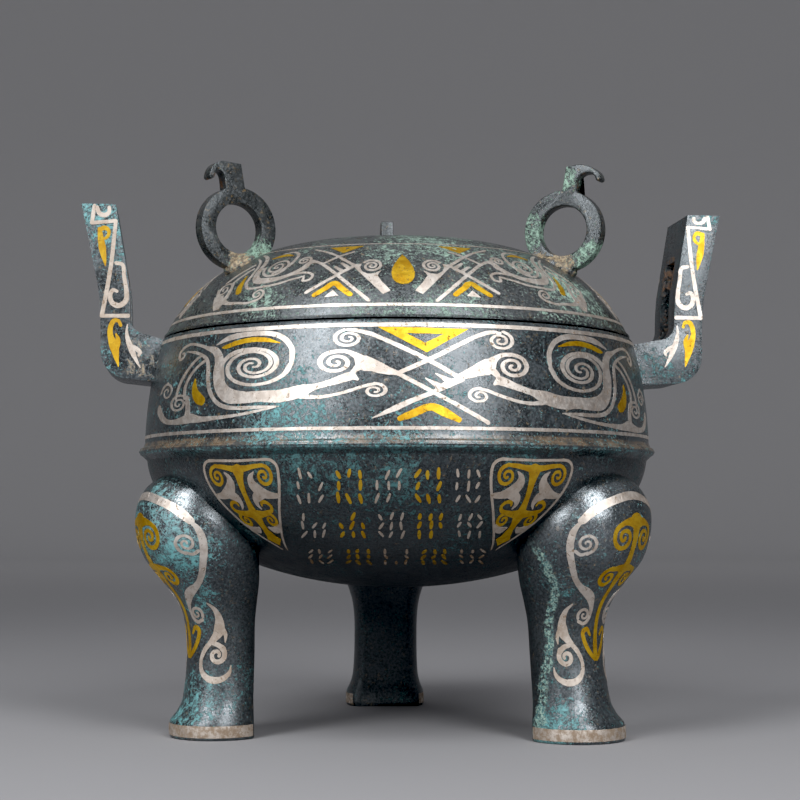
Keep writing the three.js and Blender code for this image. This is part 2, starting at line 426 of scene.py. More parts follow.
# ---- Lid ----
def lid_profile(inset, count):
    edge = lid_radius(LID_H, inset)
    radii = [edge * math.sin(angle) for angle in steps(math.pi / 2, 0, count)]
    return [(radius, lid_height(radius, inset)) for radius in radii]


def lid_dome():
    profile = lid_profile(0, 80)
    edge = profile[0][0] - LIP_EDGE
    corner = [(edge + LIP_EDGE * math.cos(a), LID_H + LIP_EDGE * (1 + math.sin(a)))
              for a in steps(-math.pi / 2, 0, 4)]
    return turned("lid_bronze", [(0, LID_H)] + corner + profile[2:])


def lid_hollow():
    mouth = lid_radius(LID_H, LID_WALL)
    return turned("hollow", [(0, LID_H - 5), (mouth, LID_H - 5)] + lid_profile(LID_WALL, 60))


def lid_flange():
    inner = FLANGE_RADIUS - FLANGE_WALL
    bottom = LID_H - FLANGE_DEPTH
    top = LID_H + 2
    return turned("flange", [(inner, bottom), (FLANGE_RADIUS, bottom), (FLANGE_RADIUS, top), (inner, top)])


def knob_outline(nape, beak):
    crown = CREST_THROAT + 0.8

    def ring_top(radius):
        return math.sqrt(KNOB_RADIUS**2 - (radius - KNOB_AXIS_R) ** 2)

    start = math.atan2(ring_top(nape), nape - KNOB_AXIS_R)
    end = math.atan2(ring_top(CREST_THROAT), CREST_THROAT - KNOB_AXIS_R)
    outline = Outline(nape, KNOB_AXIS_H + ring_top(nape))
    outline.arc(KNOB_AXIS_R, KNOB_AXIS_H, KNOB_RADIUS, start, end + 2 * math.pi, count=60)
    hook = (CREST_THROAT + beak) / 2
    outline.curve((CREST_THROAT + 0.2, BEAK_H), (CREST_THROAT + 0.6, BEAK_H + 2), (hook, BEAK_H + 2))
    outline.curve((beak - 1.4, BEAK_H + 2), (beak - BEAK_TIP, BEAK_H))
    outline.arc(beak, BEAK_H, BEAK_TIP, math.pi, 2 * math.pi, count=6)
    outline.curve((beak + 0.6, BEAK_H + 3.4), (crown + 2, CREST_H), (crown, CREST_H))
    outline.line(nape + CREST_LEAN, CREST_H - 0.4)
    return outline


def knob(shape):
    obj = plate("knob", knob_outline(shape["nape"], shape["beak"]), KNOB_THICKNESS, shape["azimuth"], shape["sink"])
    ring = Outline(KNOB_AXIS_R + KNOB_HOLE, KNOB_AXIS_H)
    ring.arc(KNOB_AXIS_R, KNOB_AXIS_H, KNOB_HOLE, 0, 2 * math.pi, count=56)
    hole = plate("hole", ring, 3 * KNOB_THICKNESS, shape["azimuth"], shape["sink"])
    combine(obj, hole, "DIFFERENCE")
    rounded_edges(obj, EDGE)
    combine(obj, fillet(shape["azimuth"]), "UNION")
    return obj


def fillet(azimuth):
    """The lump of metal where a ring stands on the lid: an ellipsoid, tilted with the dome."""
    count = 24
    tilt = math.radians(FILLET_TILT)
    turn = math.radians(azimuth)
    along, across, thick = FILLET_SIZE
    points = [(0, 0, -1)]
    for rise in steps(-math.pi / 2, math.pi / 2, 12)[1:-1]:
        for i in range(count):
            angle = 2 * math.pi * i / count
            points.append((math.cos(rise) * math.cos(angle), math.cos(rise) * math.sin(angle), math.sin(rise)))
    points.append((0, 0, 1))
    faces = []
    for i in range(count):
        j = (i + 1) % count
        faces.append((0, 1 + j, 1 + i))
        for row in range(10):
            low = 1 + row * count
            faces.append((low + i, low + j, low + count + j, low + count + i))
        faces.append((1 + 10 * count + i, 1 + 10 * count + j, len(points) - 1))
    placed_points = []
    for x, y, z in points:
        outward_mm = along * x * math.cos(tilt) + thick * z * math.sin(tilt) + FILLET_R
        height = -along * x * math.sin(tilt) + thick * z * math.cos(tilt) + lid_height(FILLET_R) - 0.6
        side = across * y
        placed_points.append((outward_mm * math.sin(turn) + side * math.cos(turn),
                              -outward_mm * math.cos(turn) + side * math.sin(turn), height))
    obj = mesh_object("fillet", placed_points, faces)
    outward(obj)
    return obj


# ---- The two cast pieces ----
def vessel_bronze():
    obj = bowl_outside()
    for shape in LEGS:
        combine(obj, leg(shape), "UNION")
    for shape in EARS:
        combine(obj, ear(shape), "UNION")
    combine(obj, bowl_hollow(), "DIFFERENCE")
    shade(obj)
    return obj


def lid_bronze():
    obj = lid_dome()
    for shape in KNOBS:
        combine(obj, knob(shape), "UNION")
    combine(obj, lid_hollow(), "DIFFERENCE")
    combine(obj, lid_flange(), "UNION")
    shade(obj)
    return obj


# ---- Flat inlay patterns, in millimetres ----
def through(stations, step):
    """Points of a smooth curve through stations of equal length (x, y, ... values)."""
    count = len(stations)
    spans = [max(math.dist(a[:2], b[:2]), 1e-6) for a, b in zip(stations, stations[1:])]
    slopes = []
    for i in range(count):
        low = max(i - 1, 0)
        high = min(i + 1, count - 1)
        length = sum(spans[low:high])
        slopes.append([(b - a) / length for a, b in zip(stations[low], stations[high])])
    points = [tuple(stations[0])]
    for i, span in enumerate(spans):
        for t in steps(0, 1, max(math.ceil(span / step), 1))[1:]:
            h00 = 2 * t**3 - 3 * t**2 + 1
            h10 = (t**3 - 2 * t**2 + t) * span
            h01 = 3 * t**2 - 2 * t**3
            h11 = (t**3 - t**2) * span
            pairs = zip(stations[i], slopes[i], stations[i + 1], slopes[i + 1])
            points.append(tuple(h00 * a + h10 * m + h01 * b + h11 * n for a, m, b, n in pairs))
    return points


class Pattern:
    """Inlay shapes drawn on a flat band: x along it, y up it. Shapes may overlap."""

    def __init__(self):
        self.faces = []

    def face(self, *points):
        area = sum(a[0] * b[1] - b[0] * a[1] for a, b in zip(points, points[1:] + points[:1]))
        if abs(area) > 1e-4:
            self.faces.append(list(points) if area > 0 else list(points[::-1]))

    def fill(self, *points):
        """A closed outline; its sides are divided so that they can follow a curved surface."""
        outline = []
        for a, b in zip(points, points[1:] + points[:1]):
            count = max(math.ceil(math.dist(a, b) / 1.5), 1)
            for t in steps(0, 1, count)[:-1]:
                outline.append((a[0] + (b[0] - a[0]) * t, a[1] + (b[1] - a[1]) * t))
        self.face(*outline)

    def ribbon(self, *stations, stretch=1, step=0.7, closed=False):
        """A stroke through (x, y, width) stations. Widths across x are multiplied by stretch."""
        line = through(stations, step)
        left = []
        right = []
        for i, (x, y, width) in enumerate(line):
            before = line[max(i - 1, 0)]
            after = line[min(i + 1, len(line) - 1)]
            dx = (after[0] - before[0]) / stretch
            dy = after[1] - before[1]
            half = max(width, 0.12) / 2 / max(math.hypot(dx, dy), 1e-9)
            left.append((x - dy * half * stretch, y + dx * half))
            right.append((x + dy * half * stretch, y - dx * half))
        for i in range(len(line) - 1):
            self.face(right[i], right[i + 1], left[i])
            self.face(right[i + 1], left[i + 1], left[i])
        for x, y, width in (line[0], line[-1]):
            if width > 0.5:
                self.dot(x, y, width / 2, stretch)

    def dot(self, x, y, radius, stretch=1):
        ring = [(x + radius * stretch * math.cos(a), y + radius * math.sin(a)) for a in steps(0, 2 * math.pi, 12)]
        self.face(*ring[:-1])

    def spiral(self, x, y, start, turns, radius, width, stretch=1, sense=1, core=0.35, tip=0.6):
        """A stroke winding in from radius to core. Start is in turns from the right, sense +1 is
        counterclockwise; tip is the share of the width left at the inner end."""
        stations = []
        for t in steps(0, 1, math.ceil(12 * turns)):
            angle = 2 * math.pi * (start + sense * turns * t)
            reach = radius + (core - radius) * t
            place = (x + reach * stretch * math.cos(angle), y + reach * math.sin(angle))
            stations.append((*place, width * (1 + (tip - 1) * t)))
        self.ribbon(*stations, stretch=stretch)

    def add(self, other, move=None):
        """Adds another pattern's shapes, each point passed through move."""
        for points in other.faces:
            self.face(*[move(*p) if move else p for p in points])

    def both_sides(self, other, middle=0.0):
        """Adds another pattern and its mirror image about x = middle."""
        self.add(other)
        self.add(other, lambda x, y: (2 * middle - x, y))


INLAY_PROUD = 0.09
INLAY_DEPTH = 0.35
INLAY_WOBBLE = 0.1  # the hand-cut edges wander by this much


def inside(polygon, x, y):
    """Whether a point lies in a polygon, by counting the sides to its right."""
    found = False
    for a, b in zip(polygon, polygon[1:] + polygon[:1]):
        if (a[1] > y) != (b[1] > y) and x < a[0] + (y - a[1]) / (b[1] - a[1]) * (b[0] - a[0]):
            found = not found
    return found


def flat_mesh(pattern, grid):
    """The union of a pattern's shapes as points and triangles, with a grid of inner points."""
    cell = 1.5
    points = []
    edges = []
    cells = {}
    for face in pattern.faces:
        first = len(points)
        points.extend(face)
        edges += [(first + i, first + (i + 1) % len(face)) for i in range(len(face))]
        xs = [p[0] for p in face]
        ys = [p[1] for p in face]
        for i in range(math.floor(min(xs) / cell), math.floor(max(xs) / cell) + 1):
            for j in range(math.floor(min(ys) / cell), math.floor(max(ys) / cell) + 1):
                cells.setdefault((i, j), []).append(face)
    low = np.min(points, axis=0)
    high = np.max(points, axis=0)
    for x in np.arange(low[0] + grid / 2, high[0], grid):
        for y in np.arange(low[1] + grid / 2, high[1], grid):
            points.append((x, y))
    result = delaunay_2d_cdt([Vector(p) for p in points], edges, [], 0, 0.01, False)
    kept = []
    for face in result[2]:
        x = sum(result[0][i].x for i in face) / 3
        y = sum(result[0][i].y for i in face) / 3
        if any(inside(shape, x, y) for shape in cells.get((math.floor(x / cell), math.floor(y / cell)), ())):
            kept.append(tuple(face))
    flat = []
    for p in result[0]:
        shift = noise.noise_vector(Vector((p.x * 0.9, p.y * 0.9, 3.7)))
        flat.append((p.x + INLAY_WOBBLE * shift.x, p.y + INLAY_WOBBLE * shift.y))
    return flat, kept


def on_surface(surface, x, y):
    """The point of a surface over a flat point, and the outward normal there."""
    place = np.array(surface(x, y))
    across = np.array(surface(x + 0.05, y)) - place
    up = np.array(surface(x, y + 0.05)) - place
    normal = np.cross(across, up)
    return place, normal / max(np.linalg.norm(normal), 1e-12)


def inlay_object(name, patches):
    """One piece made of thin plates let into the bronze: (pattern, surface, grid) each."""
    points = []
    faces = []
    for pattern, surface, grid in patches:
        if not pattern.faces:
            continue
        flat, triangles = flat_mesh(pattern, grid)
        first = len(points)
        count = len(flat)
        raised = []
        sunk = []
        for x, y in flat:
            place, normal = on_surface(surface, x, y)
            raised.append(place + INLAY_PROUD * normal)
            sunk.append(place - INLAY_DEPTH * normal)
        points.extend(raised + sunk)
        sides = {}
        for a, b, c in triangles:
            faces.append((first + a, first + b, first + c))
            faces.append((first + count + a, first + count + c, first + count + b))
            for edge in ((a, b), (b, c), (c, a)):
                if edge[::-1] in sides:
                    del sides[edge[::-1]]
                else:
                    sides[edge] = True
        for a, b in sides:
            faces.append((first + a, first + count + a, first + count + b, first + b))
    obj = mesh_object(name, points, faces)
    drop_loose(obj)
    shade(obj)
    return obj


def drop_loose(obj):
    work = bmesh.new()
    work.from_mesh(obj.data)
    bmesh.ops.delete(work, geom=[v for v in work.verts if not v.link_faces], context="VERTS")
    work.to_mesh(obj.data)
    work.free()


# ---- Belly band: one dragon, mirrored about the lattice ----
BAND_SCALE = 83.2  # millimetres along the band for one radian about the axis


def belly_surface(turn):
    def surface(x, y):
        angle = turn + x / BAND_SCALE
        radius = upper_radius(y)
        return radius * math.sin(angle), -radius * math.cos(angle), y
    return surface


def dragon_silver():
    p = Pattern()
    # wrap and the two arms of the double spiral
    p.ribbon((-72, 120.4, 0.3), (-66.5, 122.2, 1.7), (-58, 123, 1.5), (-50, 122.7, 1.5), (-45, 121, 1.6),
             (-42.1, 118, 1.7), (-41.7, 115.4, 1.8), (-41.9, 112.8, 1.2))
    p.spiral(-55.3, 113.4, 0, 1.72, 6.75, 0.95, stretch=2, sense=-1, core=0.6)
    p.ribbon((-68.5, 112, 1.5), (-66.6, 115.8, 1.6), (-61.5, 117.9, 1.2), (-55.3, 118.4, 0.95))
    p.spiral(-55.3, 113.4, 0.25, 1.45, 5.0, 0.95, stretch=2, sense=-1, core=0.55)
    # body from the snout round under the spiral, and up to the crest
    p.ribbon((-20.8, 108.3, 0.7), (-22.6, 109.3, 2.5), (-28, 107.8, 2.0), (-33.5, 106.4, 1.8), (-38, 105.2, 3.6),
             (-45, 103.9, 3.8), (-52, 104, 3.3), (-58, 103.9, 3.6), (-64, 104.8, 4.6), (-67.5, 107.5, 4.5),
             (-68.9, 111.5, 4.7), (-69.4, 115.5, 3.8), (-71.6, 118.4, 2.6), (-75.5, 119.6, 1.3),
             (-80.5, 120.9, 0.9), (-86, 121.6, 0.85), (-90.3, 120.7, 1.0), (-92.6, 118.7, 1.2),
             (-91.4, 117.2, 1.0), (-89.2, 117.7, 0.8), (-89.2, 118.9, 0.7), (-90.6, 119, 0.5))
    p.ribbon((-40, 104, 1.6), (-33.8, 103.3, 1.1), (-29, 103.7, 0.9), (-24, 104.8, 0.9), (-19, 106.3, 0.9),
             (-15.7, 107, 0.9))
    p.spiral(-15.8, 105, 0.25, 1.55, 2.1, 0.75, stretch=1.75, sense=-1)
    # second line of the crest, running back under the body
    p.ribbon((-88, 119.4, 0.3), (-82.5, 118.8, 0.8), (-78, 117.6, 1.0), (-75.2, 116, 1.3), (-74, 113, 1.7),
             (-73.4, 109.6, 1.6), (-71.9, 106.2, 1.5), (-69.2, 103.3, 1.3), (-65.5, 101.5, 1.3),
             (-60.5, 100.8, 1.1), (-53, 100.8, 1.0), (-45, 100.9, 0.3))
    # wings: a pair of lines down to the tail
    p.ribbon((-76, 116, 1.0), (-80.3, 113.8, 1.0), (-83.6, 110.8, 1.3), (-85.2, 107.8, 1.5), (-84.8, 105, 1.6))
    p.ribbon((-78.7, 117.4, 0.7), (-81.5, 116.2, 1.0), (-85, 113.5, 1.2), (-88, 110.3, 1.4), (-89.6, 107.3, 1.5),
             (-90.2, 105, 1.3))
    # tail: a crescent under its own spiral
    p.ribbon((-46, 100.7, 0.3), (-53, 99.6, 0.8), (-61, 98.6, 0.9), (-70, 98.1, 1.3), (-76, 98, 1.9),
             (-81, 98.5, 3.0), (-86, 97.9, 2.2), (-91, 97.7, 1.5), (-96, 98.2, 1.7), (-100, 99.8, 2.6),
             (-103, 102, 3.2))
    p.ribbon((-82.5, 98.9, 3.0), (-82.4, 101.8, 2.4), (-83.4, 104.6, 2.0))
    p.spiral(-88.3, 103.2, 0.1, 1.9, 2.75, 0.75, stretch=2.1, sense=1)
    p.spiral(-97.7, 107.3, 0.5, 1.6, 2.9, 0.7, stretch=1.7, sense=-1)
    p.ribbon((-104, 106.6, 0.3), (-101.5, 108.6, 0.7), (-97.7, 110.2, 0.7))
    # jaw: the wedge, with its spiral, and the small spiral over it
    p.ribbon((-9, 110.1, 1.2), (-12.5, 111, 2.6), (-16, 112.3, 3.6), (-19.6, 113.4, 4.4), (-21.5, 115.2, 2.0),
             (-24.3, 116.5, 1.2), (-27.6, 116.7, 1.1))
    p.spiral(-27.6, 113.4, 0.25, 1.9, 3.3, 1.05, stretch=1.7, sense=1)
    p.ribbon((-20.6, 112, 2.2), (-22.2, 110.6, 1.6), (-22.6, 109.3, 1.6))
    p.spiral(-24.1, 120.5, 0.3, 1.95, 2.65, 0.8, stretch=1.75, sense=1)
    return p


def dragon_gold():
    p = Pattern()
    p.ribbon((-69, 119.4, 0.3), (-67.2, 119.6, 1.3), (-62, 120.7, 1.5), (-56, 121.2, 1.5), (-51, 120.8, 1.2),
             (-46.3, 119.8, 0.3))
    p.ribbon((-80, 110.6, 0.4), (-79.9, 108, 2.2), (-78.9, 105.8, 3.2), (-77, 104.3, 3.5), (-75.3, 103.6, 2.9))
    return p


def leaned(x, y):
    """The right-hand dragon is a little shorter and sits lower."""
    return -0.965 * x, y - 0.065 * (125.2 - y)


def lattice_silver():
    p = Pattern()
    p.ribbon((-24.5, 123.1, 0.9), (-21.5, 122.8, 1.1), (-16, 121.3, 1.2), (-0.3, 114.2, 1.3), (9.8, 108.6, 1.3))
    p.ribbon((23.5, 122.5, 0.9), (20.5, 122.7, 1.1), (15.2, 121.2, 1.2), (0.2, 114.1, 1.3), (-9, 110.1, 1.2))
    p.ribbon((-9.4, 110.2, 1.2), (1, 104.8, 1.2), (9.8, 100.2, 1.2), (17.7, 95.9, 1.2))
    p.ribbon((10.2, 108.4, 1.3), (1, 104.4, 1.3), (-5.6, 101.8, 1.5), (-10, 99.8, 1.6), (-16.5, 97, 0.3))
    p.ribbon((2.6, 105.7, 1.2), (6, 107.3, 1.7), (9.6, 108.6, 1.6))
    p.ribbon((6.6, 107.5, 2.1), (2, 110.1, 0.3))
    p.ribbon((3.6, 106, 2.1), (-1, 108.7, 0.3))
    return p


def lattice_gold():
    p = Pattern()
    p.fill((-15.2, 123.8), (-6.4, 121.9), (5.2, 121.8), (13, 123.4))
    p.fill((-15.2, 123.8), (-0.3, 116.3), (-0.8, 119.1), (-6.4, 121.9))
    p.fill((13, 123.4), (5.2, 121.8), (-0.8, 119.1), (-0.3, 116.3))
    p.ribbon((-8.4, 96.9, 1.6), (-5, 98.2, 2.2), (0.6, 100.3, 2.2), (4.5, 98.8, 2.6), (8.8, 96.6, 1.6))
    return p


def belly_patches(turn):
    silver = lattice_silver()
    silver.add(dragon_silver())
    silver.add(dragon_silver(), leaned)
    gold = lattice_gold()
    gold.add(dragon_gold())
    gold.add(dragon_gold(), leaned)
    return (silver, belly_surface(turn), 2.5), (gold, belly_surface(turn), 2.5)


def band_line(height, width, surface, scale=BAND_SCALE):
    """A line all round the vessel, as two halves of a ring."""
    half = math.pi * scale
    patches = []
    for start in (-half, 0):
        line = Pattern()
        line.ribbon((start, height, width), (start + half, height, width), step=2.5)
        patches.append((line, surface, 5))
    return patches


# ---- Lower bowl: shields and the rows of strokes between them ----
def lower_surface(turn):
    def surface(x, y):
        angle = turn + x / BAND_SCALE
        radius = lower_radius(y)
        return radius * math.sin(angle), -radius * math.cos(angle), y
    return surface


def half_shield_silver():
    """Left half of a shield about x = 0."""
    p = Pattern()
    p.ribbon((0, 85.2, 0.8), (-8, 85.4, 0.8), (-12.2, 85.3, 0.9), (-14.2, 83.8, 0.9), (-14.5, 80.5, 0.9),
             (-13.6, 76.5, 0.9), (-11.4, 71.5, 0.8), (-7.4, 65.3, 0.8), (-1.2, 58.7, 0.5))
    p.ribbon((-12.4, 74.9, 1.4), (-9.6, 75.1, 2.2), (-6.2, 76.3, 3.6), (-4.4, 78.2, 3.2), (-4.3, 80.3, 1.9),
             (-5.9, 82, 0.3))
    p.ribbon((-6.4, 75.4, 3.0), (-3.9, 74.2, 2.6), (-3.3, 72.4, 1.4), (-4.2, 70.9, 0.3))
    p.ribbon((-7.6, 66.4, 0.5), (-5.6, 65, 1.8), (-3.6, 64.7, 1.8), (-2.2, 65.4, 0.7))
    return p


def half_shield_gold():
    p = Pattern()
    p.ribbon((0, 82.7, 2.4), (-3, 83, 1.7), (-6, 83.5, 1.4), (-9, 83.8, 1.1))
    p.spiral(-9.2, 80.6, 0.25, 1.6, 3.2, 1.15, sense=1)
    p.ribbon((0, 69.4, 3.0), (-3, 69.5, 1.9), (-5.4, 69.7, 1.3))
    p.spiral(-5.4, 67.7, 0.25, 1.3, 2.1, 1.0, stretch=1.2, sense=1)
    p.ribbon((-4.4, 69.9, 1.1), (-7.6, 70.4, 1.1), (-8.4, 71.8, 1.1), (-7, 73, 1.0), (-5.2, 72.9, 1.0),
             (-4.9, 71.8, 0.5))
    p.fill((0, 60), (0, 64.8), (-1.5, 64.4), (-2, 62.9), (-3.3, 61.9))
    return p


def shield(half, gold):
    p = Pattern()
    p.both_sides(half)
    if gold:
        p.ribbon((0, 82.2, 4.2), (0, 80.8, 3.2), (-0.1, 78, 2.2), (0, 74, 1.9), (0, 71, 2.8), (0, 68.8, 4.2),
                 (0, 66.4, 2.6), (0, 63.5, 2.6), step=0.8)
    return p


SHIELD_AZIMUTHS = (23.4, -41.7, 92, 136, -106, -148)
STROKES_AZIMUTH = -6.4
STROKE_COLUMNS = [(-25.4, False), (-13.9, True), (-2.4, False), (9.1, True), (20.6, False)]  # across, gold
STROKE_ROWS = [(77.6, 0, 1.0), (66.2, 0.8, 0.74), (56.6, 2.2, 0.48)]  # height, shift, flattening
STROKE_LEANS = (90, 90, 62, 76, 104, 118)  # degrees
STROKE_PITCH = (3.1, 3.5)


def front_surface(turn):
    """The lower bowl's front, where x is measured straight across and not round the bowl."""
    def surface(x, y):
        angle = turn + math.asin(x / lower_radius(y))
        return lower_radius(y) * math.sin(angle), -lower_radius(y) * math.cos(angle), y
    return surface


def stroke_cell(chance, width):
    """Nine short loose strokes, some of them worn away."""
    cell = Pattern()
    for i, j in itertools.product((-1, 0, 1), repeat=2):
        lean = math.radians(chance.choice(STROKE_LEANS) + chance.uniform(-8, 8))
        half = chance.uniform(0.8, 1.4)
        x = STROKE_PITCH[0] * i + chance.uniform(-0.3, 0.3)
        y = STROKE_PITCH[1] * j + chance.uniform(-0.3, 0.3)
        dx = half * math.cos(lean)
        dy = half * math.sin(lean)
        if chance.random() < 0.86:
            cell.ribbon((x - dx, y - dy, 0.7 * width), (x, y, width), (x + dx, y + dy, 0.7 * width))
    return cell


def stroke_rows(gold):
    """Rows of short loose strokes, not letters, where the bowl carries its inscription."""
    chance = np.random.default_rng(5)
    p = Pattern()
    for height, shift, flattening in STROKE_ROWS:
        for across, is_gold in STROKE_COLUMNS:
            cell = stroke_cell(chance, 1.15 if is_gold else 0.85)
            if is_gold == gold:
                p.add(cell, lambda x, y: (across + shift + x, height + flattening * y))
    return p


def lower_patches():
    outline = shield(half_shield_silver(), False)
    filling = shield(half_shield_gold(), True)
    patches = []
    for azimuth in SHIELD_AZIMUTHS:
        surface = lower_surface(math.radians(azimuth))
        patches.append((outline, surface, 2.5))
    gold = [(filling, lower_surface(math.radians(azimuth)), 2.5) for azimuth in SHIELD_AZIMUTHS]
    front = front_surface(math.radians(STROKES_AZIMUTH))
    patches.append((stroke_rows(False), front, 2.5))
    gold.append((stroke_rows(True), front, 2.5))
    return patches, gold


# ---- Lid: a lattice round a drop, with a bird to each side, three times round ----
LID_SCALE = 66  # millimetres across the pattern for one radian about the axis
RING_RADIUS = 75.7  # the pattern's height is measured up the lid from here
PATTERN_CENTRES = (-5, 116, -125)
LID_ARC_RADII = np.linspace(RING_RADIUS + 2, 20, 1500)
LID_ARC_HEIGHTS = np.array([lid_height(r) for r in LID_ARC_RADII])
LID_ARC = np.concatenate([[0], np.cumsum(np.hypot(np.diff(LID_ARC_RADII), np.diff(LID_ARC_HEIGHTS)))])
LID_ARC -= np.interp(2, RING_RADIUS + 2 - LID_ARC_RADII, LID_ARC)


def lid_surface(turn):
    def surface(x, y):
        angle = turn + x / LID_SCALE
        radius = float(np.interp(y, LID_ARC, LID_ARC_RADII))
        return radius * math.sin(angle), -radius * math.cos(angle), float(np.interp(y, LID_ARC, LID_ARC_HEIGHTS))
    return surface


def half_lid_silver():
    """Left half of the lid's pattern about x = 0."""
    p = Pattern()
    # the wedge with its spiral beside the drop
    p.fill((-5.3, 4.8), (-3.3, 6.2), (-5.6, 9.6), (-7.2, 12.6), (-6.2, 15), (-8.2, 13.6), (-10.2, 13.4),
           (-11.8, 14.6), (-12.7, 16.6), (-12.5, 18.6), (-14.4, 18.2), (-14.9, 17.2))
    p.spiral(-9.2, 17.4, 0.4, 2.1, 3.2, 1.0, sense=-1)
    # lattice
    p.ribbon((-14.2, 17.9, 1.1), (-20, 12.4, 1.1), (-26.8, 6.2, 1.2))
    p.ribbon((-14.2, 17.3, 1.1), (-20.9, 23.1, 1.0), (-26, 26.6, 0.9), (-32.5, 29.6, 0.9))
    p.ribbon((-9, 2.5, 1.0), (-19.2, 13.3, 1.1), (-25.9, 19.5, 1.1), (-30.5, 21.8, 1.3))
    p.ribbon((-25.4, 19.2, 0.9), (-20.5, 23.8, 0.9), (-16.5, 26.4, 0.7))
    p.ribbon((-15.5, 16.6, 1.2), (-19, 13.6, 1.2))
    p.ribbon((-16.2, 16.6, 1.3), (-18.9, 19.1, 0.9))
    p.ribbon((-17.9, 15, 1.3), (-20.6, 17.3, 0.9))
    p.fill((-21.2, 4.1), (-17.2, 4.5), (-19.2, 6.8))
    # bird: head spiral, thick body, hooked beak
    p.spiral(-32.9, 22, 0.05, 1.6, 2.3, 0.9, sense=1)
    p.ribbon((-28, 20.9, 0.9), (-30.3, 20.2, 2.0), (-30.9, 18.2, 2.2), (-34, 15.1, 1.7), (-38.2, 13.2, 1.8),
             (-42.3, 12.7, 2.6), (-46.2, 13.1, 2.6), (-48.2, 15.6, 2.2), (-49, 19.2, 1.8), (-49.8, 22.8, 1.7),
             (-52, 26, 1.4), (-55.4, 28.4, 1.1), (-59, 30, 0.6))
    p.ribbon((-36.6, 13.6, 1.0), (-32.6, 14.9, 0.9), (-28.8, 15, 0.9), (-26.8, 13.6, 0.9), (-27.3, 11.6, 0.9),
             (-29.2, 11.3, 0.9), (-29.4, 12.7, 0.7))
    p.ribbon((-29.6, 13.3, 0.7), (-33.8, 12, 0.8), (-38, 10.5, 0.9), (-43, 9.9, 0.9), (-47.8, 9.8, 1.0),
             (-50.2, 12.4, 1.1), (-50.6, 16.8, 1.1), (-51.6, 21, 1.0), (-54, 24.4, 0.9), (-58, 27, 0.6))
    p.spiral(-42, 19.4, 0.5, 2.4, 5.0, 0.95, sense=1)
    p.ribbon((-49.4, 18.5, 1.2), (-47, 19.4, 0.95))
    p.ribbon((-46.6, 28.6, 0.3), (-41.5, 29.2, 0.9), (-37.9, 26.6, 1.1), (-37, 22.6, 1.2), (-38.2, 18.6, 1.1),
             (-41.8, 15.9, 1.0))
    # foot curl and tail
    p.spiral(-42.8, 6.8, 0.8, 1.6, 2.3, 0.8, sense=1)
    p.ribbon((-42.4, 4.4, 0.9), (-45.5, 3.7, 0.9), (-49.3, 4.1, 1.0), (-53.2, 4.4, 1.3), (-56.5, 5.8, 2.0),
             (-60, 8, 1.6), (-62.3, 10.8, 1.0))
    p.ribbon((-55.8, 5.4, 1.8), (-55.5, 9.5, 1.3), (-56.6, 13, 1.0))
    p.fill((-61.6, 7.8), (-60.6, 5.6), (-58.2, 2.0), (-56.2, 2.6), (-55.2, 5), (-57.6, 8.2))
    p.spiral(-59.2, 10.6, 0.95, 1.8, 3.2, 0.8, sense=1)
    p.ribbon((-61, 14, 1.1), (-58.5, 18, 1.1), (-54.8, 22.4, 1.0))
    p.ribbon((-57.2, 13.4, 1.0), (-55.4, 16.6, 1.0), (-53, 20, 0.9))
    return p


def half_lid_gold():
    p = Pattern()
    p.ribbon((-24.1, 5.1, 1.6), (-21.6, 7.4, 1.8), (-19.2, 9.6, 1.9), (-16.8, 7.4, 1.8), (-14.2, 4.9, 1.6))
    p.fill((-26.7, 30.4), (-20.3, 27), (-20.3, 30), (-24, 30.2))
    p.fill((-20.3, 25.8), (-14.2, 31), (-18, 30.2), (-20.3, 28.2))
    p.fill((-26.7, 30.4), (-20.3, 25.8), (-20.3, 27.8))
    p.fill((-26.7, 30.6), (-14.2, 31.2), (-17, 30), (-23.6, 29.6))
    p.ribbon((-49, 25.4, 0.3), (-46.6, 26.6, 1.5), (-43.6, 27.2, 1.6), (-40, 26.4, 0.4))
    p.ribbon((-52.8, 16.2, 0.4), (-52.5, 13.4, 1.4), (-52, 10.6, 2.2), (-51.2, 8.6, 2.0))
    return p


def lid_patches():
    silver = Pattern()
    silver.both_sides(half_lid_silver())
    gold = Pattern()
    gold.both_sides(half_lid_gold())
    gold.fill(*[(4.5 * math.sin(a) * math.sin(a / 2) ** 1.1 + 0.2, 16.4 + 7.6 * math.cos(a)) for a in steps(0, 2 * math.pi, 40)[:-1]])
    surfaces = [lid_surface(math.radians(azimuth)) for azimuth in PATTERN_CENTRES]
    return [(silver, s, 3) for s in surfaces], [(gold, s, 3) for s in surfaces]


# ---- Legs ----
LEG_SCALE = 0.3  # millimetres along the pattern for one degree about the leg
LEG_PATTERNS = ((3, 1.1), (-11, 0.96), (0, 1))  # middle in degrees from straight outward, and width


def leg_surface(shape, middle=0.0, width=1.0):
    def surface(x, y):
        return leg_point(shape, math.radians(middle + width * x / LEG_SCALE), y)
    return surface


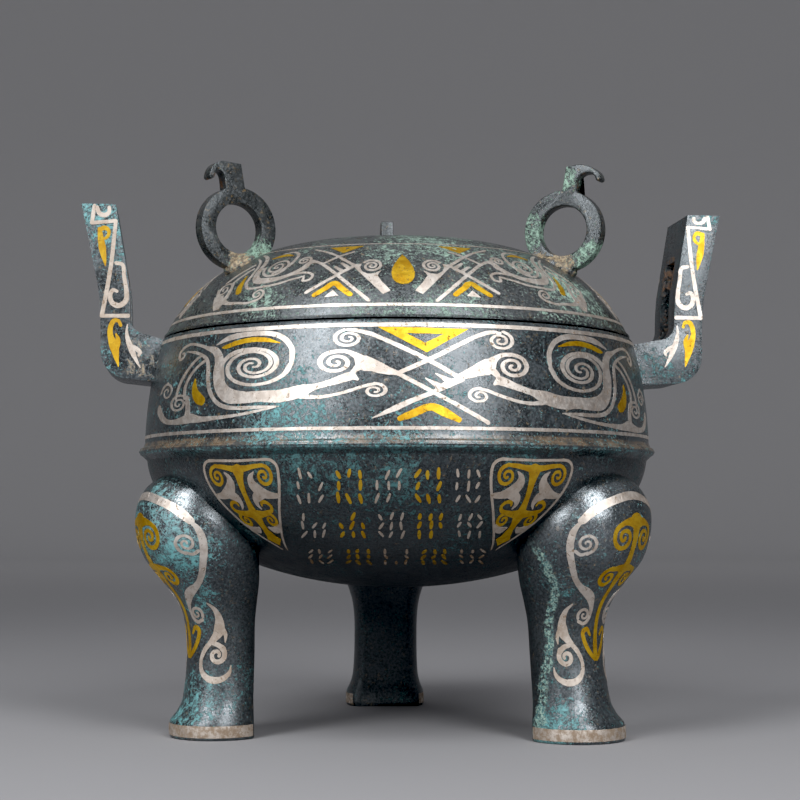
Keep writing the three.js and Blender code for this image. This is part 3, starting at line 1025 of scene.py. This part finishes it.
def half_leg_silver():
    """Right half of a leg's pattern about x = 0."""
    p = Pattern()
    p.ribbon((0, 75.2, 2.5), (3.6, 74.7, 2.5), (9, 72.8, 2.5), (12.8, 70.4, 2.6), (15.4, 67.5, 2.2))
    p.ribbon((15.3, 67.6, 0.7), (17.2, 64.6, 1.6), (17.9, 60.6, 1.9), (17.5, 57, 1.8), (16.2, 53.2, 1.6),
             (14.2, 49.8, 1.5), (11.8, 47.4, 1.7), (9.2, 45.9, 2.5), (6.4, 43.8, 2.6), (4.6, 40.6, 1.6),
             (4.9, 37.6, 1.3), (7, 36.1, 1.1), (9.6, 36.8, 1.1))
    p.spiral(7.4, 38.7, 0.93, 1.25, 2.2, 0.95, stretch=1.25, sense=1)
    p.ribbon((16.5, 58.4, 0.9), (15, 57.3, 0.9), (13.4, 57.8, 0.9))
    p.spiral(13.8, 60.6, 0.72, 1.7, 3.1, 0.95, stretch=0.9, sense=-1)
    p.ribbon((12.8, 42.2, 0.3), (15.2, 40, 1.6), (16.4, 37, 3.0), (16.2, 34, 4.2), (14.4, 31.6, 2.8),
             (12, 29.6, 1.8), (9.4, 27.2, 1.7), (7.8, 24, 1.6), (8.4, 21, 1.8), (11, 18.9, 2.0),
             (14.8, 18.2, 2.1), (18.2, 18.9, 1.8), (20.4, 20.6, 1.4), (20.9, 22.8, 0.4))
    p.ribbon((17.2, 34.4, 2.0), (18.6, 32.2, 1.6), (18.4, 29.8, 0.4))
    p.ribbon((12.6, 29.6, 1.0), (15.4, 29.1, 1.6), (17.8, 27.8, 1.9))
    p.spiral(15, 25.9, 0.15, 1.2, 2.7, 1.7, stretch=1.3, sense=-1, core=0.7)
    return p


def half_leg_gold():
    p = Pattern()
    p.ribbon((0, 67, 4.4), (2.4, 67.2, 2.6), (4.2, 66.8, 1.6))
    p.spiral(3.9, 62.4, 0.22, 1.7, 4.3, 1.55, stretch=0.75, sense=-1)
    p.ribbon((0, 52.8, 3.2), (2, 53.2, 1.9), (4, 52.8, 1.3))
    p.spiral(4.2, 50.1, 0.25, 1.45, 2.9, 1.25, sense=-1)
    p.ribbon((3.4, 32.6, 1.0), (5.2, 34.4, 1.5), (7.2, 33.4, 1.8), (6, 30.2, 1.8), (3.4, 27.2, 1.8), (0.8, 25.2, 1.4))
    return p


def foot_band():
    p = Pattern()
    reach = 121 * LEG_SCALE
    p.fill((-reach, 0.9), (reach, 0.9), (reach, 4.5), (-reach, 4.5))
    return p


def leg_patches():
    silver = Pattern()
    silver.both_sides(half_leg_silver())
    gold = Pattern()
    gold.both_sides(half_leg_gold())
    gold.ribbon((0, 68, 4.0), (0, 64, 2.2), (0, 58, 1.7), (0, 52, 2.6), (0, 47, 1.9), (0, 40, 2.0), (0, 33, 2.2),
                (0, 27, 2.6), (0, 24.6, 0.5))
    silvers = []
    golds = []
    for shape, (middle, width) in zip(LEGS, LEG_PATTERNS):
        silvers.append((silver, leg_surface(shape, middle, width), 1.6))
        silvers.append((foot_band(), leg_surface(shape), 1.6))
        golds.append((gold, leg_surface(shape, middle, width), 1.6))
    return silvers, golds


# ---- Ears: the narrow faces to the front and the back ----
def ear_surface(face):
    """The plane of the ears' narrow faces; face is -1 in front and +1 at the back."""
    def surface(x, y):
        return -face * x, face * EAR_WIDTH / 2, y
    return surface


def ear_silver():
    p = Pattern()
    p.ribbon((98.9, 168.9, 1.2), (99.4, 166, 1.2), (99.8, 163.4, 1.2), step=4)
    p.ribbon((99.9, 163.3, 1.2), (92.2, 164.1, 1.2), step=4)
    p.ribbon((92.2, 164, 1.2), (93.9, 150, 1.3), (97, 133.4, 1.3), step=4)
    p.ribbon((97.1, 133.2, 1.2), (88.6, 133.3, 1.3), step=4)
    p.ribbon((98, 168.4, 1.2), (97.4, 166.5, 1.5), (95.6, 165.9, 1.5), (94.3, 166.9, 1.3), (94.2, 168.4, 1.2))
    p.ribbon((92.3, 150.4, 1.2), (90.2, 149.8, 1.3), (89.8, 146, 1.2), (89.2, 141.8, 1.4), (89.4, 138.2, 1.6),
             (91.5, 136.6, 1.7), (93.7, 137.4, 1.6), (94.4, 139.6, 1.4), (93.5, 141.6, 1.3), (92.1, 141.2, 0.9))
    p.ribbon((88.8, 130.6, 0.3), (89, 128, 1.0), (88.5, 125.2, 1.6), (87.4, 122.3, 1.9), (86.2, 119.5, 1.2),
             (84.6, 116.6, 0.3))
    p.ribbon((87.6, 123.7, 1.0), (85.9, 122.7, 1.4), (84.7, 121.4, 1.4), (85.3, 120.2, 0.5))
    return p


def ear_gold():
    p = Pattern()
    p.ribbon((97.4, 161.4, 1.3), (97.1, 158.4, 1.9), (96.6, 155, 2.3), (96.1, 152, 1.5), (95.7, 149.4, 0.3))
    p.ribbon((97.2, 161.2, 1.4), (95.6, 161.8, 1.5), (94.4, 160.6, 1.2), (94.9, 158.9, 1.1), (96, 158.2, 0.9))
    p.ribbon((91, 130.2, 1.0), (91.6, 131.6, 1.2), (93.2, 131.6, 1.5), (94.2, 129.4, 1.6), (94.1, 126.4, 1.9),
             (93, 123.6, 3.0), (92.4, 120.6, 2.0), (91.5, 116.8, 0.3))
    p.ribbon((92.5, 127.6, 0.5), (91.7, 125.3, 1.5), (92, 122.6, 1.2))
    return p


def ear_patches():
    silvers = []
    golds = []
    for shape in EARS:
        shift = shape["outer"] - EARS[0]["outer"]

        def moved(x, y):
            """The right ear's pattern sits higher, and its top motif is squeezed under the rim."""
            lift = 0.45 * shift * min(1, max(0, (EAR_TOP_H - 0.4 - y) / 6))
            return sense * (x + shift + 0.025 * max(0, y - EAR_LEAN_H)), y + lift

        for face in (-1, 1):
            sense = -shape["side"] * face
            for drawn, patches in ((ear_silver(), silvers), (ear_gold(), golds)):
                pattern = Pattern()
                pattern.add(drawn, moved)
                patches.append((pattern, ear_surface(face), 6))
    return silvers, golds


# ---- Materials: all procedural, in object space, metres ----
class Shader:
    """A material's node tree with short names for the nodes that the materials share."""

    def __init__(self, name):
        self.material = bpy.data.materials.new(name)
        self.material.use_nodes = True
        self.tree = self.material.node_tree
        self.surface = self.tree.nodes["Principled BSDF"]
        self.place = self.tree.nodes.new("ShaderNodeTexCoord").outputs["Object"]

    def connect(self, source, socket):
        if isinstance(source, (int, float)):
            socket.default_value = source
        elif isinstance(source, tuple):
            socket.default_value = (*source, 1)
        else:
            self.tree.links.new(source, socket)

    def set(self, name, source):
        self.connect(source, self.surface.inputs[name])

    def noise(self, size_mm, detail=3, roughness=0.6, distortion=0):
        node = self.tree.nodes.new("ShaderNodeTexNoise")
        self.connect(self.place, node.inputs["Vector"])
        node.inputs["Scale"].default_value = 1 / (size_mm * MM)
        node.inputs["Detail"].default_value = detail
        node.inputs["Roughness"].default_value = roughness
        node.inputs["Distortion"].default_value = distortion
        return node.outputs["Fac"]

    def grade(self, value, low, high, start=0.0, end=1.0):
        """Value mapped smoothly from low..high to start..end."""
        node = self.tree.nodes.new("ShaderNodeMapRange")
        node.interpolation_type = "SMOOTHSTEP"
        self.connect(value, node.inputs["Value"])
        node.inputs["From Min"].default_value = low
        node.inputs["From Max"].default_value = high
        node.inputs["To Min"].default_value = start
        node.inputs["To Max"].default_value = end
        return node.outputs["Result"]

    def math(self, operation, first, second):
        node = self.tree.nodes.new("ShaderNodeMath")
        node.operation = operation
        self.connect(first, node.inputs[0])
        self.connect(second, node.inputs[1])
        return node.outputs[0]

    def mix(self, factor, first, second):
        node = self.tree.nodes.new("ShaderNodeMix")
        node.data_type = "RGBA"
        self.connect(factor, node.inputs["Factor"])
        self.connect(first, node.inputs["A"])
        self.connect(second, node.inputs["B"])
        return node.outputs["Result"]

    def along(self, axis):
        """Place along X, Y or Z, in metres."""
        node = self.tree.nodes.new("ShaderNodeSeparateXYZ")
        self.connect(self.place, node.inputs[0])
        return node.outputs[axis]

    def height(self):
        return self.along("Z")

    def near(self, point, radius_mm):
        """1 at a point of the vessel (millimetres about its axis), falling to 0 at the radius."""
        node = self.tree.nodes.new("ShaderNodeVectorMath")
        node.operation = "DISTANCE"
        self.connect(self.place, node.inputs[0])
        node.inputs[1].default_value = placed([point])[0]
        return self.grade(node.outputs["Value"], 0.25 * radius_mm * MM, radius_mm * MM, 1.0, 0.0)

    def ellipsoid(self, centre, radii):
        """Distance from a centre that is 1 on an ellipsoid (millimetres about the axis)."""
        node = self.tree.nodes.new("ShaderNodeMapping")
        self.connect(self.place, node.inputs["Vector"])
        scale = [1 / (r * MM) for r in radii]
        node.inputs["Scale"].default_value = scale
        node.inputs["Location"].default_value = [-c * k for c, k in zip(placed([centre])[0], scale)]
        length = self.tree.nodes.new("ShaderNodeVectorMath")
        length.operation = "LENGTH"
        self.connect(node.outputs["Vector"], length.inputs[0])
        return length.outputs["Value"]

    def curve(self, value, points):
        """A smooth curve through (value, result) points, all between 0 and 1."""
        node = self.tree.nodes.new("ShaderNodeFloatCurve")
        self.connect(value, node.inputs["Value"])
        curve = node.mapping.curves[0]
        for point in points[1:-1]:
            curve.points.new(*point)
        curve.points[0].location = points[0]
        curve.points[len(points) - 1].location = points[-1]
        node.mapping.update()
        return node.outputs["Value"]

    def bump(self, height, distance_mm, strength=1.0, under=None):
        node = self.tree.nodes.new("ShaderNodeBump")
        node.inputs["Strength"].default_value = strength
        node.inputs["Distance"].default_value = distance_mm * MM
        self.connect(height, node.inputs["Height"])
        if under:
            self.connect(under, node.inputs["Normal"])
        return node.outputs["Normal"]


LEFT_LEG, RIGHT_LEG, BACK_LEG = LEGS


def leg_spot(shape, degrees, height):
    return leg_point(shape, math.radians(degrees), height)


# Places where green corrosion gathers: point in millimetres about the axis, radius, weight.
BODY_CORROSION = [
    (leg_spot(LEFT_LEG, 25, 62), 24, 0.85),
    (leg_spot(LEFT_LEG, 55, 56), 16, 0.6),
    (leg_spot(LEFT_LEG, 30, 40), 14, 0.6),
    (leg_spot(LEFT_LEG, 25, 11), 16, 0.9),
    (leg_spot(LEFT_LEG, 90, 18), 12, 0.5),
    (leg_spot(RIGHT_LEG, -60, 66), 10, 0.4),
    (leg_spot(RIGHT_LEG, -85, 5), 13, 1.0),
    (leg_spot(BACK_LEG, 20, 58), 22, 0.8),
    (leg_spot(BACK_LEG, -40, 14), 14, 0.8),
    ((-38, -74, 86), 26, 0.75),
    ((-12, -80, 84), 20, 0.55),
    ((30, -74, 84), 16, 0.6),
    ((-46, -66, 104), 16, 0.3),
    ((-4, -82, 98), 16, 0.35),
    ((44, 70, 84), 26, 0.75),
    ((-34, 76, 90), 24, 0.6),
    ((84, 12, 100), 16, 0.5),
    ((-96, -12, 169), 17, 1.0),
    ((-91, -12, 154), 12, 0.55),
    ((-96, -10, 117), 10, 0.7),
    ((103, -12, 170), 9, 0.9),
    ((84, -12, 118), 9, 0.3),
]
# The green run down the inner side of the right leg: degrees round the leg, height.
CORROSION_RUN = [(-93, 57), (-82, 51), (-74, 46), (-78, 41), (-82, 36), (-81, 31), (-84, 26), (-92, 21),
                 (-98, 15), (-104, 8)]
EAR_LOOP_RUST = [
    ((-91, 0, 146), 12, 0.7),
    ((94, 0, 150), 12, 0.8),
    ((94, 0, 134), 11, 0.7),
    ((104, 0, 142), 11, 0.6),
]
EAR_ROOT_DIRT = [((-84, -10, 119), 11, 0.5), ((86, -9, 118), 9, 0.3)]
# Tarnish on the left ear's silver, and painted shade on the gold at the right leg's front.
TARNISH_AND_SHADE = [((-97, -12, 146), 42, 0.4), (leg_spot(RIGHT_LEG, 5, 60), 24, 0.4)]
POLISHED = [
    (leg_spot(LEFT_LEG, 50, 72), 20, 1.0),
    (leg_spot(RIGHT_LEG, -50, 72), 22, 1.0),
    (leg_spot(LEFT_LEG, 70, 14), 12, 0.7),
    (leg_spot(RIGHT_LEG, -40, 16), 12, 0.7),
]


def knob_point(knob, radius, height):
    angle = math.radians(knob["azimuth"])
    return radius * math.sin(angle), -radius * math.cos(angle), height - knob["sink"]


LEFT_KNOB, RIGHT_KNOB, BACK_KNOB = KNOBS
KNOB_SOLDER = [(knob_point(knob, radius, 149), 7.5, 1.2) for knob in KNOBS for radius in (52, 60)]
KNOB_BARE = [(knob_point(knob, KNOB_AXIS_R, KNOB_AXIS_H + 2), 30, -0.7) for knob in KNOBS]
KNOB_RUST = [(knob_point(knob, KNOB_AXIS_R, KNOB_AXIS_H), 9.6, 0.9) for knob in KNOBS]
KNOB_RUST += [(knob_point(knob, KNOB_AXIS_R + 7.6, 174.6), 5, 0.9) for knob in KNOBS]
KNOB_DULL = [(knob_point(knob, KNOB_AXIS_R, 165), 26, 2.0) for knob in KNOBS]
LID_CORROSION = [
    ((4, -50, 152), 26, 0.6),
    ((36, -50, 148), 22, 0.6),
    ((54, -50, 136), 18, 0.6),
    ((10, -78, 128), 16, 0.6),
    ((-52, -20, 149), 18, 0.5),
    ((-48, -62, 131), 14, 0.5),
    ((-20, 52, 154), 28, 0.6),
    ((56, 44, 138), 22, 0.5),
    (knob_point(LEFT_KNOB, 53, 153), 8, 1.7),
    (knob_point(RIGHT_KNOB, 49, 160), 10, 2.0),
    (knob_point(RIGHT_KNOB, 69, 151), 9, 1.8),
    (knob_point(RIGHT_KNOB, 61, 177), 7, 2.0),
    (knob_point(BACK_KNOB, 52, 158), 8, 1.2),
]


def sooted_and_shaded(s):
    """Share of soot and dirt, with painted shade, gathered under the bowl."""
    return s.math("MINIMUM", s.math("MULTIPLY", s.near((0, -5, 34), 86), 2.0), 1.0)


def shade_under_rib(s):
    """Share of the painted shade on the lower bowl under the rib; the legs stand outside its ellipsoid."""
    bowl = s.ellipsoid((0, 0, RIB_H), (LOWER_RADIUS, LOWER_RADIUS, LOWER_DEPTH))
    below = s.grade(s.height(), (RIB_H - 2) * MM, (RIB_H - 0.4) * MM, 1.0, 0.0)
    return s.math("MULTIPLY", s.grade(bowl, 1.012, 1.05, 1.0, 0.0), below)


def around(s, places, room=1.0):
    """Share of the places' neighbourhood: point, radius and weight each."""
    region = 0.0
    for point, radius, weight in places:
        region = s.math("ADD", region, s.math("MULTIPLY", s.near(point, radius), weight))
    return s.math("MINIMUM", region, room)


def stained(s, tone, places, colour, dark):
    """Blotches of a stain over a tone, densest at its places; returns the tone and the stain's share."""
    level = s.math("ADD", s.noise(3, 5, 0.72, 0.4), s.math("MULTIPLY", around(s, places), 0.3))
    shade = s.mix(s.grade(s.noise(0.9, 4, 0.65), 0.38, 0.6), dark, colour)
    share = s.grade(level, 0.62, 0.74, 0.0, 0.9)
    return s.mix(share, tone, shade), share


def seam_shade(s):
    """Share of the painted shade in the gap under the lid's edge."""
    low = s.grade(s.height(), (LID_H - 0.9) * MM, (LID_H - 0.2) * MM)
    return s.math("MULTIPLY", low, s.grade(s.height(), (LID_H + 0.2) * MM, (LID_H + 0.9) * MM, 1.0, 0.0))


def rib_wear(s, tone, patina):
    """The rib: bare tan metal on its ledge and green in the groove over it; the painted shade below it is added with
    the shade under the rib.
    """
    blotch = s.noise(5, 5, 0.7)
    ledge = s.math("MULTIPLY", s.grade(s.height(), (RIB_H - 0.4) * MM, (RIB_H + 0.5) * MM),
                   s.grade(s.height(), (RIB_H + 2.2) * MM, (RIB_H + 3) * MM, 1.0, 0.0))
    tone = s.mix(s.math("MULTIPLY", ledge, s.grade(blotch, 0.4, 0.6, 0.15, 0.9)), tone, (0.17, 0.12, 0.075))
    groove = s.math("MULTIPLY", s.grade(s.height(), (RIB_H - 3) * MM, (RIB_H - 1) * MM),
                    s.grade(s.height(), (RIB_H - 1) * MM, (RIB_H + 0.2) * MM, 1.0, 0.0))
    flecked = s.math("MULTIPLY", groove, s.grade(s.noise(1.6, 6, 0.75), 0.5, 0.58, 0.0, 0.9))
    return s.mix(flecked, tone, patina)


def green_run(s, tone, patina):
    """A thin pale crust that winds down the right leg."""
    spots = [placed([leg_spot(RIGHT_LEG, *spot)])[0] for spot in CORROSION_RUN[::-1]]
    low, high = spots[0][2], spots[-1][2]
    left = min(spot[0] for spot in spots)
    width = max(spot[0] for spot in spots) - left
    rise = s.math("DIVIDE", s.math("SUBTRACT", s.height(), low), high - low)
    course = s.curve(rise, [((z - low) / (high - low), (x - left) / width) for x, y, z in spots])
    across = s.math("DIVIDE", s.math("SUBTRACT", s.along("X"), left), width)
    wander = s.math("MULTIPLY", s.math("SUBTRACT", s.noise(2.2, 3, 0.7), 0.5), 3.4 * MM / width)
    offset = s.math("ABSOLUTE", s.math("ADD", s.math("SUBTRACT", across, course), wander), 0.0)
    line = s.grade(offset, 0.9 * MM / width, 1.6 * MM / width, 1.0, 0.0)
    side = around(s, [(leg_spot(RIGHT_LEG, -90, height), 19, 3.0) for height in (54, 40, 24, 8)])
    ends = s.grade(s.height(), high, high + 5 * MM, 1.0, 0.0)
    broken = s.math("MULTIPLY", s.grade(s.noise(1.1, 4, 0.7), 0.42, 0.54), ends)
    crust = s.math("MULTIPLY", s.math("MULTIPLY", line, side), broken)
    pale = s.mix(s.grade(s.noise(0.6, 3, 0.6), 0.4, 0.6), tuple(0.5 * c for c in patina), (0.28, 0.4, 0.34))
    return s.mix(crust, tone, pale), crust


def corroded(s, tone, patina, places, base, fleck_mm):
    """Lace of granular green over a tone; returns the new tone and the green's share."""
    cloud = s.grade(s.noise(20, 3, 0.55), 0.44, 0.66, 0.0, 0.5)
    region = s.math("ADD", s.math("ADD", cloud, base), around(s, places, 1.25))
    region = s.math("MINIMUM", region, 1.25)
    lace = s.math("ADD", s.noise(fleck_mm, 6, 0.76, 0.6), s.math("MULTIPLY", region, 0.15))
    islands = s.grade(lace, 0.64, 0.66)
    specks = s.math("ADD", s.noise(0.7, 2, 0.6, 0.4), s.math("MULTIPLY", region, 0.12))
    specks = s.grade(specks, 0.655, 0.68, 0.0, 0.85)
    green = s.math("MAXIMUM", islands, specks)
    dark = tuple(0.16 * c for c in patina)
    pale = tuple(1.4 * c for c in patina)
    shade = s.mix(s.grade(s.noise(0.5, 3, 0.65), 0.38, 0.56), dark, patina)
    shade = s.mix(s.grade(lace, 0.70, 0.78), shade, pale)
    rim = s.math("MULTIPLY", s.grade(lace, 0.60, 0.635), s.grade(lace, 0.64, 0.66, 0.6, 0.0))
    tone = s.mix(rim, tone, (0.004, 0.005, 0.005))
    return s.mix(green, tone, shade), green


def bronze(name, metal, deep, patina, places, base, fleck_mm, stains, dull, polished, has_run):
    """Cast bronze: dark glossy skin with a fine grain, under flecks of green corrosion."""
    s = Shader(name)
    mottle = s.noise(8, 5, 0.66)
    grain = s.noise(0.8, 4, 0.7)
    tone = s.mix(s.grade(mottle, 0.38, 0.62), deep, metal)
    tone = s.mix(s.grade(grain, 0.5, 0.68, 0.0, 0.8), tone, tuple(2.2 * c for c in metal))
    tone = s.mix(s.grade(s.noise(1.3, 5, 0.7, 0.3), 0.6, 0.65, 0.0, 0.7), tone, (0.16, 0.11, 0.05))
    tone = rib_wear(s, tone, patina)
    matte = 0.0
    for spots, colour, dark in stains:
        tone, stain = stained(s, tone, spots, colour, dark)
        matte = s.math("MAXIMUM", stain, matte)
    tone, green = corroded(s, tone, patina, places, base, fleck_mm)
    matte = s.math("MAXIMUM", green, matte)
    # Painted shade: a near-black band in the gap under the lid's edge.
    tone = s.mix(s.math("MULTIPLY", seam_shade(s), 0.9), tone, (0.003, 0.003, 0.003))
    # Painted shade: soot and shade under the bowl, and shade under the rib, darken the tone towards the deep colour.
    soot_and_shade = sooted_and_shaded(s)
    shadow = s.math("MAXIMUM", soot_and_shade, s.math("MULTIPLY", shade_under_rib(s), 0.8))
    tone = s.mix(s.math("MULTIPLY", shadow, 0.72), tone, deep)
    if has_run:
        tone, crust = green_run(s, tone, patina)
        matte = s.math("MAXIMUM", crust, matte)
    shadow = s.math("MAXIMUM", shadow, around(s, dull))
    shine = around(s, polished)
    s.set("Base Color", tone)
    s.set("Metallic", 0.0)
    s.set("IOR", 2.1)
    s.set("Specular Tint", (0.86, 0.94, 1.0))
    level = s.math("MULTIPLY", s.grade(grain, 0.36, 0.6, 0.34, 0.6), s.grade(shadow, 0, 1, 1.0, 0.5))
    s.set("Specular IOR Level", s.math("MULTIPLY", level, s.grade(shine, 0, 1, 1.0, 1.85)))
    gloss = s.math("ADD", s.grade(mottle, 0.3, 0.7, 0.2, 0.33), s.grade(grain, 0.4, 0.75, 0.0, 0.16))
    gloss = s.math("MULTIPLY", gloss, s.grade(shine, 0, 1, 1.0, 0.72))
    gloss = s.math("ADD", gloss, s.math("MULTIPLY", soot_and_shade, 0.25))
    s.set("Roughness", s.math("ADD", gloss, s.math("MULTIPLY", matte, 0.38)))
    relief = s.bump(s.math("ADD", grain, s.math("MULTIPLY", matte, 0.9)), 0.13, 0.6)
    s.set("Normal", s.bump(s.noise(10, 2, 0.5), 0.35, 0.2, under=relief))
    return s.material


def inlay_metal(name, bright, worn, dirt_and_shade, roughness):
    """Hammered inlay: bright metal, dulled in clouds, with brown dirt in pits and at the feet; the same brown is
    painted shade under the bowl and the rib and on the right leg's gold, and tarnish on the left ear.
    """
    s = Shader(name)
    tone = s.mix(s.grade(s.noise(3.5, 5, 0.66), 0.38, 0.62), bright, worn)
    pits = s.grade(s.noise(1.5, 6, 0.76, 0.6), 0.57, 0.63)
    low = s.math("MULTIPLY", s.grade(s.height(), 0.006, 0.0075, 1.0, 0.0),
                 s.grade(s.noise(2.0, 4, 0.7), 0.36, 0.6, 0.25, 1.0))
    # Painted shade under the bowl, broken into clouds.
    soot_and_shade = s.math("MULTIPLY", sooted_and_shaded(s), s.grade(s.noise(3, 4, 0.7), 0.3, 0.55, 0.6, 1.0))
    # Painted shade under the rib, with the tarnish on the left ear and painted shade on the right leg's gold.
    shade = s.math("MAXIMUM", s.math("MULTIPLY", shade_under_rib(s), 0.4), around(s, TARNISH_AND_SHADE))
    dull = s.math("MAXIMUM", s.math("MULTIPLY", pits, 0.85), s.math("MULTIPLY", low, 0.8))
    dull = s.math("MAXIMUM", s.math("MAXIMUM", dull, soot_and_shade), shade)
    s.set("Base Color", s.mix(dull, tone, dirt_and_shade))
    s.set("Metallic", s.grade(dull, 0, 1, 1.0, 0.3))
    rough = s.grade(s.noise(0.9, 3), 0.3, 0.7, roughness, roughness + 0.12)
    s.set("Roughness", s.math("ADD", rough, s.math("MULTIPLY", dull, 0.3)))
    hammered = s.bump(s.noise(2.2, 2), 0.08, 0.6)
    s.set("Normal", s.bump(s.noise(0.4, 3, 0.7), 0.04, 0.6, under=hammered))
    return s.material


def silver(name):
    return inlay_metal(name, (0.80, 0.745, 0.69), (0.62, 0.55, 0.49), (0.19, 0.12, 0.06), 0.44)


def gold(name):
    return inlay_metal(name, (0.82, 0.54, 0.05), (0.66, 0.38, 0.03), (0.15, 0.09, 0.02), 0.42)


def floor_material():
    """Grey paper, darkest round the vessel and paler far off: a painted gradient of light."""
    s = Shader("floor")
    centre = s.near((0, -60, 0), FLOOR_FADE * 1000)
    s.set("Base Color", s.mix(centre, FLOOR_FAR, FLOOR_NEAR))
    s.set("Roughness", 0.85)
    return s.material


# ---- Stage ----
CAMERA_AZIMUTH = -6.4
CAMERA_DISTANCE = 595
CAMERA_H = 69.2
CAMERA_PITCH = 3.69
CAMERA_YAW = 0.1
CAMERA_LENS = 80.3
# Lights: name, azimuth from the camera's side, height angle, distance, width and height, power.
LIGHTS = [
    ("left_softbox", -38, 34, 0.85, (0.28, 0.9), 6.3),
    ("right_softbox", 27, 34, 0.85, (0.28, 0.9), 5.8),
    ("front_fill", -6, 30, 1.7, (2.6, 1.2), 3.0),
]
BLACK_LEVEL = 0.0105  # the photograph crushes its shadows
WORLD = (0.28, 0.28, 0.29, 1)
# Floor colours near the vessel and far off: a painted gradient of light over the floor and cove.
FLOOR_NEAR = (0.28, 0.28, 0.294)
FLOOR_FAR = (0.58, 0.58, 0.59)
FLOOR_FADE = 2.2
STAGE_RADIUS = 2.2
STAGE_COVE = 0.9


def add_camera():
    azimuth = math.radians(CAMERA_AZIMUTH)
    place = (CAMERA_DISTANCE * math.sin(azimuth), -CAMERA_DISTANCE * math.cos(azimuth), CAMERA_H)
    data = bpy.data.cameras.new("camera")
    data.lens = CAMERA_LENS
    data.sensor_width = 36
    data.clip_start = 0.01
    camera = bpy.data.objects.new("camera", data)
    camera.location = placed([place])[0]
    camera.rotation_euler = (math.radians(90 + CAMERA_PITCH), 0, azimuth - math.radians(CAMERA_YAW))
    bpy.context.collection.objects.link(camera)
    bpy.context.scene.camera = camera


def add_area(name, azimuth, elevation, distance, size, power):
    turn = math.radians(CAMERA_AZIMUTH + azimuth)
    rise = math.radians(elevation)
    reach = distance * math.cos(rise)
    location = Vector((reach * math.sin(turn), -reach * math.cos(turn), distance * math.sin(rise) + 0.1))
    data = bpy.data.lights.new(name, "AREA")
    data.shape = "RECTANGLE"
    data.size, data.size_y = size
    data.energy = power
    light = bpy.data.objects.new(name, data)
    light.location = location
    light.rotation_euler = (Vector((0, 0, 0.1)) - location).to_track_quat("-Z", "Y").to_euler()
    bpy.context.collection.objects.link(light)


def stage_floor():
    """A round floor that curves up into a wall, the same from every side."""
    profile = [(0, 0), (0.5, 0), (1.0, 0)]
    for angle in steps(-math.pi / 2, 0, 16):
        profile.append((STAGE_RADIUS + STAGE_COVE * math.cos(angle), STAGE_COVE + STAGE_COVE * math.sin(angle)))
    profile.append((STAGE_RADIUS + STAGE_COVE, 2.4))
    count = 96
    points = []
    for radius, height in profile:
        for angle in steps(0, 2 * math.pi, count)[:-1]:
            points.append((radius * math.cos(angle), radius * math.sin(angle), height))
    faces = []
    for row in range(len(profile) - 1):
        for i in range(count):
            j = (i + 1) % count
            low = row * count
            if row == 0:
                continue
            faces.append((low + i, low + count + i, low + count + j, low + j))
    faces.append(tuple(range(count, 2 * count)))
    mesh = bpy.data.meshes.new("stage_floor")
    mesh.from_pydata(points, [], faces)
    floor = bpy.data.objects.new("stage_floor", mesh)
    bpy.context.collection.objects.link(floor)
    drop_loose(floor)
    for polygon in mesh.polygons:
        polygon.use_smooth = True
    mesh.materials.append(floor_material())


def add_world():
    world = bpy.data.worlds.new("world")
    world.use_nodes = True
    world.node_tree.nodes["Background"].inputs["Color"].default_value = WORLD
    bpy.context.scene.world = world
    view = bpy.context.scene.view_settings
    view.view_transform = "Standard"
    view.use_curve_mapping = True
    view.curve_mapping.black_level = (BLACK_LEVEL, BLACK_LEVEL, BLACK_LEVEL)
    view.curve_mapping.update()


def add_piece(obj, material, node):
    obj.data.materials.clear()
    obj.data.materials.append(material)
    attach(obj, "root")
    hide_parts(node)
    print(obj.name, sum(len(p.vertices) - 2 for p in obj.data.polygons), "triangles")


def main():
    rust = (0.24, 0.11, 0.035), (0.05, 0.025, 0.01)
    tan = (0.36, 0.28, 0.17), (0.11, 0.08, 0.05)
    body_metal = bronze("bronze_body", (0.019, 0.024, 0.027), (0.006, 0.008, 0.009), (0.085, 0.26, 0.27),
                        BODY_CORROSION, 0.0, 2.4, [(EAR_LOOP_RUST, *rust), (EAR_ROOT_DIRT, *tan)], [], POLISHED, True)
    lid_metal = bronze("bronze_lid", (0.03, 0.033, 0.034), (0.011, 0.013, 0.013), (0.19, 0.29, 0.23),
                       LID_CORROSION + KNOB_BARE, 0.14, 1.8, [(KNOB_RUST, *rust), (KNOB_SOLDER, *tan)],
                       KNOB_DULL, [], False)
    add_piece(vessel_bronze(), body_metal, "vessel_body")
    add_piece(lid_bronze(), lid_metal, "lid")
    silvers = []
    golds = []
    for turn in (0, math.pi):
        of_silver, of_gold = belly_patches(turn)
        silvers.append(of_silver)
        golds.append(of_gold)
    silvers += band_line(124.5, 1.2, belly_surface(0))
    silvers += band_line(94.2, 1.0, belly_surface(0))
    for more_silver, more_gold in (lower_patches(), leg_patches(), ear_patches()):
        silvers += more_silver
        golds += more_gold
    lid_silver, lid_gold = lid_patches()
    lid_silver += band_line(1.0, 1.05, lid_surface(0), LID_SCALE)
    lid_silver += band_line(33.2, 0.5, lid_surface(0), LID_SCALE)
    silver_metal = silver("inlaid_silver")
    gold_metal = gold("inlaid_gold")
    add_piece(inlay_object("inlay_silver_body", silvers), silver_metal, "vessel_body")
    add_piece(inlay_object("inlay_gold_body", golds), gold_metal, "vessel_body")
    add_piece(inlay_object("inlay_silver_lid", lid_silver), silver_metal, "lid")
    add_piece(inlay_object("inlay_gold_lid", lid_gold), gold_metal, "lid")
    stage_floor()
    add_world()
    for light in LIGHTS:
        add_area(*light)
    add_camera()


main()
